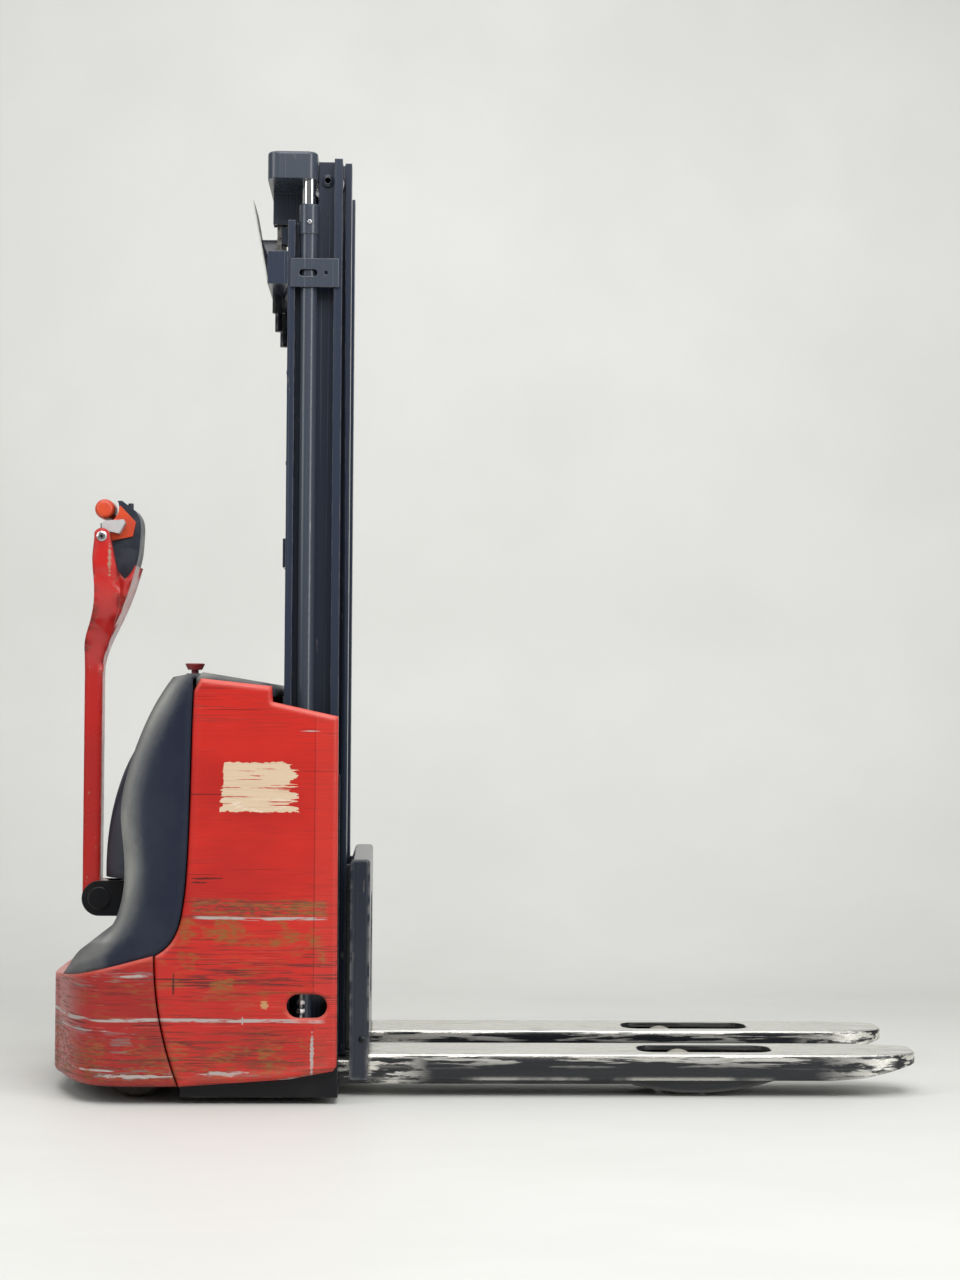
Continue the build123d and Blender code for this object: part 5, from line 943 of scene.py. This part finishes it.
def chain_link(pitch, leaves):
    """Plates side by side from one pin at the origin to the next pin above it."""
    plate = block((PLATE_WIDTH, PLATE_THICK, pitch + PLATE_WIDTH * 0.94), (0, 0, pitch / 2))
    pick("EDGE", lambda centre, along: abs(along.y) > 0.9)
    bpy.ops.mesh.bevel(offset=PLATE_WIDTH * 0.3, segments=1)
    plates = join_copies(plate, [Matrix.Translation((0, leaf, 0)) for leaf in leaves], "plates")
    clear_selection()
    bpy.ops.mesh.primitive_cylinder_add(vertices=8, radius=PIN_RADIUS, depth=PIN_LENGTH, rotation=(QUARTER, 0, 0))
    settle()
    return join_pieces([plates, bpy.context.object], "link")


def chain_run(links, low, high, x, name):
    """Two straight chains of this many links between two heights."""
    pitch = (high - low) / links
    outer = chain_link(pitch, OUTER_LEAVES)
    inner = join_copies(chain_link(pitch, INNER_LEAVES), [Matrix.Translation((0, 0, pitch))], "inner_link")
    run = join_pieces([outer, inner], name)
    use_modifier("ARRAY", count=links // 2, use_relative_offset=False, use_constant_offset=True,
                 constant_offset_displace=(0, 0, 2 * pitch))
    return join_copies(run, [Matrix.Translation((x, side * CHAIN_Y, low)) for side in (-1, 1)], name)


# %% Straight runs and wraps
front_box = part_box("lift_chains_front")
rear_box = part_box("lift_chains_rear")
front_x = (front_box[0].x + front_box[1].x) / 2
rear_x = (rear_box[0].x + rear_box[1].x) / 2
sheave_x, sheave_z = (front_x + rear_x) / 2, front_box[1].z
WRAP_RADIUS = (front_x - rear_x) / 2
FRONT_LINKS = 116
REAR_LINKS = 10
WRAP_LINKS = 10

front_chain = chain_run(FRONT_LINKS, front_box[0].z, sheave_z, front_x, "front_chain_links")
finish_piece(front_chain, "inner_mast", "chain_steel", "lift_chains_front")
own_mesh(front_chain)
rear_chain = chain_run(REAR_LINKS, rear_box[0].z, sheave_z, rear_x, "rear_chain_links")
finish_piece(rear_chain, None, "chain_steel", "lift_chains_rear")
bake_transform(rear_chain)

step = math.pi / WRAP_LINKS
wrap_pitch = 2 * WRAP_RADIUS * math.sin(step / 2)
outer_places, inner_places = [], []
for side in (-1, 1):
    for count in range(WRAP_LINKS):
        angle = math.pi - count * step
        out, up = WRAP_RADIUS * math.cos(angle), WRAP_RADIUS * math.sin(angle)
        pin = Vector((sheave_x + out, side * CHAIN_Y, sheave_z + up))
        lean = math.pi - angle + step / 2
        places = outer_places if count % 2 == 0 else inner_places
        places.append(Matrix.Translation(pin) @ Matrix.Rotation(lean, 4, "Y"))
outer_wrap = join_copies(chain_link(wrap_pitch, OUTER_LEAVES), outer_places, "outer_wrap")
inner_wrap = join_copies(chain_link(wrap_pitch, INNER_LEAVES), inner_places, "inner_wrap")
wraps = join_pieces([outer_wrap, inner_wrap], "chain_wrap_links")
finish_piece(wraps, "inner_mast", "chain_steel", "lift_chain_wraps")
print("chain faces:", len(front_chain.data.polygons), len(rear_chain.data.polygons), len(wraps.data.polygons))

# %% [markdown]
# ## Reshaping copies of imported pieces
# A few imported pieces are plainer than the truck. Each is copied, its doubled vertices are merged, and the copy is
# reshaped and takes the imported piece's place. First the guard's lower rail: on the truck it is a thin strip that hardly
# shows from the side, so its back is pushed in. The inner mast's channels stand a little higher than the outer ones.

# %% Thin lower rail and mast tops
MERGE_DISTANCE = 0.00002


def copy_node(name):
    """An active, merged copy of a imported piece, with its place in its mesh."""
    clear_selection()
    piece = nodes[name].copy()
    piece.data = nodes[name].data.copy()
    bpy.context.scene.collection.objects.link(piece)
    piece.parent = None
    piece.matrix_world = Matrix.Identity(4)
    piece.select_set(True)
    bpy.context.view_layer.objects.active = piece
    pick("VERT", lambda point, normal: True)
    bpy.ops.mesh.remove_doubles(threshold=MERGE_DISTANCE)
    return piece


RAIL_TOP = 1.3
RAIL_BACK = -0.43
RAIL_PUSH = 0.014
cross_members = copy_node("outer_cross_members")
pick("VERT", lambda point, normal: point.z < RAIL_TOP and point.x < RAIL_BACK)
bpy.ops.transform.translate(value=(RAIL_PUSH, 0, 0))
cross_members = join_pieces([cross_members], "mast_cross_members")
finish_piece(cross_members, "chassis", "mast_steel", "outer_cross_members")

MAST_RISE = 0.014
mast_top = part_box("inner_mast_channels")[1].z
inner_channels = copy_node("inner_mast_channels")
pick("VERT", lambda point, normal: point.z > mast_top - 0.001)
bpy.ops.transform.translate(value=(0, 0, MAST_RISE))
inner_channels = join_pieces([inner_channels], "inner_mast_rails")
finish_piece(inner_channels, "inner_mast", "mast_steel", "inner_mast_channels")
print("reshaped:", cross_members.name, inner_channels.name)

# %% [markdown]
# ## The tiller's bowl
# The head sits in a bowl between the tiller's side arms, and from the side its dark flank shows down to its foot. The
# packed bowl stands in front of it, so a copy of the head, widened to the side arms, is cut out of the casting below
# the hand grips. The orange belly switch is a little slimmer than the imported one.

# %% Tiller bowl and belly switch
ARM_GAP = 0.0855
GRIP_CLEAR = 1.13
BELLY_SLIM = 0.86
head_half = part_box("tiller_head")[1].y
cutter = copy_node("tiller_head")
bpy.ops.transform.resize(value=(1, ARM_GAP / head_half, 1), center_override=(0, 0, 0))
bpy.ops.mesh.bisect(plane_co=(0, 0, GRIP_CLEAR), plane_no=(0, 0, 1), use_fill=True, clear_outer=True)
casting = copy_node("tiller_arm")
use_modifier("BOOLEAN", operation="DIFFERENCE", object=cutter, solver="EXACT")
bpy.data.objects.remove(cutter)
casting = join_pieces([casting], "tiller_casting")
finish_piece(casting, "tiller", "red_casting", "tiller_arm")

belly_low, belly_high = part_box("belly_switch")
belly_middle = (belly_low + belly_high) / 2
belly = copy_node("belly_switch")
bpy.ops.transform.resize(value=(BELLY_SLIM, 1, BELLY_SLIM), center_override=belly_middle)
belly = join_pieces([belly], "belly_bar")
finish_piece(belly, "belly_button", "orange_plastic", "belly_switch")
print("tiller:", len(casting.data.polygons), [round(size, 3) for size in casting.dimensions], belly.name)

# %% [markdown]
# ## Fork noses
# The truck's forks run out in a long nose that rises from below and narrows to a rounded tip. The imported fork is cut
# off where its channel ends, its lower edge is trimmed to a slight rise, and the end face is extruded forward in steps.
# At each step it gets narrower about the fork's middle and thinner about its flat top.

# %% Fork noses
NOSE_START = 185
NOSE_CUT = 122
CUT_WIDTH = 180
CUT_THICKNESS = 49.4
NOSE_STEPS = [(95, 172, 45), (70, 160, 40), (48, 146, 35), (28, 130, 30), (14, 114, 26.5), (5, 96, 24), (0.5, 80, 22)]


def fork_with_nose(node_name):
    """A copy of a packed fork with a long rising nose."""
    low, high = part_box(node_name)
    middle_y = (low.y + high.y) / 2
    cut_x = high.x - NOSE_CUT * MM
    fork = copy_node(node_name)
    bpy.ops.mesh.bisect(plane_co=(cut_x, 0, 0), plane_no=(1, 0, 0), use_fill=True, clear_outer=True)
    rise = ((high.z - low.z) / MM - CUT_THICKNESS) / (NOSE_START - NOSE_CUT)
    pick("VERT", lambda point, normal: True)
    bpy.ops.mesh.bisect(plane_co=(high.x - NOSE_START * MM, 0, low.z), plane_no=(-rise, 0, 1), use_fill=True,
                        clear_inner=True)
    pick("FACE", lambda centre, normal: normal.x > 0.9 and abs(centre.x - cut_x) < 0.0005)
    width, thickness, reach = CUT_WIDTH, CUT_THICKNESS, NOSE_CUT
    for behind_tip, next_width, next_thickness in NOSE_STEPS:
        extrude((reach - behind_tip) * MM, 0, 0)
        bpy.ops.transform.resize(
            value=(1, next_width / width, next_thickness / thickness), center_override=(0, middle_y, high.z)
        )
        width, thickness, reach = next_width, next_thickness, behind_tip
    bpy.ops.mesh.select_all(action="SELECT")
    bpy.ops.mesh.normals_make_consistent(inside=False)
    return join_pieces([fork], node_name + "_nosed")


for side_name in ("left", "right"):
    nosed = fork_with_nose("fork_" + side_name)
    finish_piece(nosed, "carriage", "fork_steel", "fork_" + side_name)
    print(nosed.name, len(nosed.data.polygons), [round(size, 3) for size in nosed.dimensions])

# %% [markdown]
# ## Fasteners on the mast
# The top rollers turn on axles whose ends show on the outer channels as round bosses with a dark socket. Each gland
# nut on a lift cylinder has a small bright screw, and dark button screws hold the clear guard.

# %% Mast fasteners
WEB_FACE_Y = 0.248
GLAND_FACE_Y = 0.2878
# Each size: sides, width across the flats, height, and the bore's width and depth.
AXLE_BOSS = (24, 0.026, 0.005, 0.01, 0.005)
GLAND_SCREW = (12, 0.009, 0.002, 0.005, 0.0018)
GUARD_SCREW = (16, 0.012, 0.0035, 0.006, 0.0022)
GUARD_SCREW_Y = 0.207
GUARD_SHARES = (0.04, 0.35, 0.65, 0.96)
boss_places = both_sides(behind(101), 1.916, -WEB_FACE_Y, WEB_FACE_Y)
fasten("roller_axle_bosses", AXLE_BOSS, boss_places, "chassis", "mast_steel")
fasten("gland_screws", GLAND_SCREW, both_sides(behind(137), 1.822, -GLAND_FACE_Y, GLAND_FACE_Y), "chassis")

guard_low, guard_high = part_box("mast_guard")
guard_rows = [guard_low.z + (guard_high.z - guard_low.z) * share for share in GUARD_SHARES]
guard_places = [at((guard_low.x, side * GUARD_SCREW_Y, row), "back") for side in (-1, 1) for row in guard_rows]
fasten("guard_screws", GUARD_SCREW, guard_places, "chassis", finish=dark_steel)

# %% [markdown]
# ## Fasteners low down
# Through the hand hole in each side panel an upright stud with two bright nuts shows on its bracket. A small screw sits
# in each edge of the carriage plate, and nuts hold the castor axles.

# %% Studs, castor nuts and carriage screws
STUD_X = behind(139)
STUD_Y = 0.356
STUD_LOW = 0.158
BRACKET_SIZE = (0.03, 0.05, 0.005)
BRACKET_LIP = 0.004
BRACKET_DROP = 0.035
BRACKET_BEVEL = 0.001
STUD_THREAD = (0.004, 0.0016, 42)
STUD_NUT = (6, 0.016, 0.0085, 0.0076, 0.002)
NUT_RISES = (0.026, 0.044)
CASTOR_NUT = (6, 0.017, 0.007, 0.009, 0.003)
CARRIAGE_SCREW = (16, 0.014, 0.004, 0.006, 0.003)
stud = threaded_stud(*STUD_THREAD)
studs = join_copies(stud, [Matrix.Translation((STUD_X, side * STUD_Y, STUD_LOW)) for side in (-1, 1)], "studs")
stud_nuts = join_copies(fastener(*STUD_NUT), [
    Matrix.Translation((STUD_X, side * STUD_Y, STUD_LOW + rise)) for side in (-1, 1) for rise in NUT_RISES
], "stud_nuts")
hand_hole_studs = join_pieces([studs, stud_nuts], "hand_hole_studs")
finish_piece(hand_hole_studs, "chassis", "bare_steel", finish=zinc)

bracket = block(BRACKET_SIZE, (STUD_X, 0, 0))
pick("FACE", lambda centre, normal: normal.y > 0.9)
extrude(0, BRACKET_LIP, 0)
pick("FACE", lambda centre, normal: normal.z < -0.9 and centre.y > BRACKET_SIZE[1] / 2)
extrude(0, 0, -BRACKET_DROP)
use_modifier("BEVEL", width=BRACKET_BEVEL, segments=2)
brackets = join_copies(bracket, [
    Matrix.Translation((0, STUD_Y - BRACKET_LIP, STUD_LOW)),
    Matrix.Translation((STUD_X * 2, BRACKET_LIP - STUD_Y, STUD_LOW)) @ Matrix.Rotation(math.pi, 4, "Z"),
], "stud_brackets")
finish_piece(brackets, "chassis", "chassis_steel")
print("hand holes:", hand_hole_studs.name, brackets.name)

for side_name in ("left", "right"):
    fork_low, fork_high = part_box("castor_fork_" + side_name)
    wheel_low, wheel_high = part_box("castor_wheel_" + side_name)
    axle = (wheel_low + wheel_high) / 2
    nut_places = both_sides(axle.x, axle.z, fork_low.y, fork_high.y)
    fasten("castor_nuts_" + side_name, CASTOR_NUT, nut_places, "castor_" + side_name, finish=zinc)

carriage_low, carriage_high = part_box("fork_carriage")
screw_places = both_sides(behind(14), 0.12, carriage_low.y, carriage_high.y)
fasten("carriage_screws", CARRIAGE_SCREW, screw_places, "carriage", finish=dark_steel)

# %% [markdown]
# ## The battery's tops
# With the cover open, the battery shows its twelve cells: each has two lead posts and a vent cap, and flat links join
# the cells in series. A cap is a round bar whose rim faces are extruded outwards, every other one, into grips.

# %% Cell posts, caps and links
cells_low, cells_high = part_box("battery_cells")
CELL_COLUMNS = 6
CELL_ROWS = 2
cell_length = (cells_high.y - cells_low.y) / CELL_COLUMNS
cell_width = (cells_high.x - cells_low.x) / CELL_ROWS
cell_middles = [
    Vector((cells_low.x + (row + 0.5) * cell_width, cells_low.y + (column + 0.5) * cell_length, cells_high.z))
    for row in range(CELL_ROWS) for column in range(CELL_COLUMNS)
]
POST_REACH = 0.036
CELL_POST = (16, 0.017, 0.011, 0.007, 0.004)
CAP_GRIPS = 8
CAP_RADIUS = 0.013
CAP_HEIGHT = 0.009
GRIP_DEPTH = 0.0016
LINK_WIDTH = 0.018
LINK_THICK = 0.003
LINK_Z = 0.0125
LINK_ROUND = 0.006
fasten("cell_posts", CELL_POST, [
    Matrix.Translation(middle + Vector((0, end * POST_REACH, 0))) for middle in cell_middles for end in (-1, 1)
], "chassis")

cap = round_bar(2 * CAP_GRIPS, CAP_RADIUS, CAP_HEIGHT)
pick("FACE", lambda centre, normal: abs(normal.z) < 0.1
     and math.floor(math.atan2(normal.y, normal.x) * CAP_GRIPS / math.pi) % 2)
bpy.ops.mesh.extrude_faces_move(TRANSFORM_OT_shrink_fatten={"value": GRIP_DEPTH})
caps = join_copies(cap, [Matrix.Translation(middle) for middle in cell_middles], "vent_caps")
finish_piece(caps, "chassis", "orange_plastic")

link = block((LINK_WIDTH, cell_length - 2 * POST_REACH + LINK_WIDTH, LINK_THICK), (0, 0, LINK_Z))
pick("EDGE", lambda centre, along: abs(along.z) > 0.9)
bpy.ops.mesh.bevel(offset=LINK_ROUND, segments=3)
links = join_copies(link, [
    Matrix.Translation(middle + Vector((0, cell_length / 2, 0)))
    for index, middle in enumerate(cell_middles) if index % CELL_COLUMNS < CELL_COLUMNS - 1
], "cell_links")
finish_piece(links, "chassis", "bare_steel")
print("cells:", len(cell_middles), caps.name, links.name)

# %% [markdown]
# ## The tiller's small pieces
# A bright turned collar with a dark screw closes each side arm where the throttle's shaft passes through it.

# %% Tiller collars
COLLAR = (24, 0.022, 0.003, 0.014, 0.0012)
COLLAR_SCREW = (12, 0.007, 0.004, 0.003, 0.002)
COLLAR_SINK = 0.0005
COLLAR_X = behind(583)
COLLAR_Z = 1.172
arm_low, arm_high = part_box("tiller_arm")
collar_places = both_sides(COLLAR_X, COLLAR_Z, arm_low.y + COLLAR_SINK, arm_high.y - COLLAR_SINK)
fasten("throttle_collars", COLLAR, collar_places, "tiller")
screw_places = both_sides(COLLAR_X, COLLAR_Z, arm_low.y, arm_high.y)
fasten("collar_screws", COLLAR_SCREW, screw_places, "tiller", finish=dark_steel)

# %% [markdown]
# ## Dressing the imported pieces
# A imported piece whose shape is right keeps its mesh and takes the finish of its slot, or one of its own. The finish
# goes into the object's own material slot; the mesh itself isn't touched.

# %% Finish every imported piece
special_finish = {
    "rear_bumper": bumper_red,
    "lift_cylinders": pale_paint,
    "cylinder_clamps": pale_paint,
    "crosshead": pale_paint,
    "fork_carriage": carriage_paint,
    "hood": hood_charcoal,
    "battery_cover": lit_lid_charcoal,
    "chain_anchors": dark_steel,
    "load_wheel_left": pale_tread,
    "load_wheel_right": pale_tread,
}


def dress(node_name):
    """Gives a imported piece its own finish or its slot's."""
    finish = special_finish.get(node_name, finishes[node_slot[node_name]])
    piece = nodes[node_name]
    if not piece.material_slots:
        piece.data.materials.append(finish)
    for held in piece.material_slots:
        held.link = "OBJECT"
        held.material = finish


for name in sorted(nodes):
    dress(name)
print("dressed pieces:", len(nodes))

# %% Floor finish
FLOOR_PALE = (0.67, 0.674, 0.65, 1)
FLOOR_GREY = (0.64, 0.644, 0.62, 1)
pale_floor, place, shader = start_material("pale_floor")
clouds = scrape(place, (1.2, 2.0, 1.2), 0.3, 0.4)
pale = layer(clouds, FLOOR_PALE, FLOOR_GREY)
feed(shader, Base_Color=pale, Roughness=pick_value(clouds, 0.5, 0.6))
tree = pale_floor.node_tree
from_back = add_node(tree, "ShaderNodeNewGeometry").outputs["Backfacing"]
clear = add_node(tree, "ShaderNodeBsdfTransparent")
one_sided = add_node(tree, "ShaderNodeMixShader", {0: from_back, 1: shader.outputs[0], 2: clear.outputs[0]})
tree.links.new(one_sided.outputs[0], tree.nodes["Material Output"].inputs["Surface"])
for sheet in (stage, rear_floor):
    sheet.data.materials.append(pale_floor)
print("stage finish:", pale_floor.name)
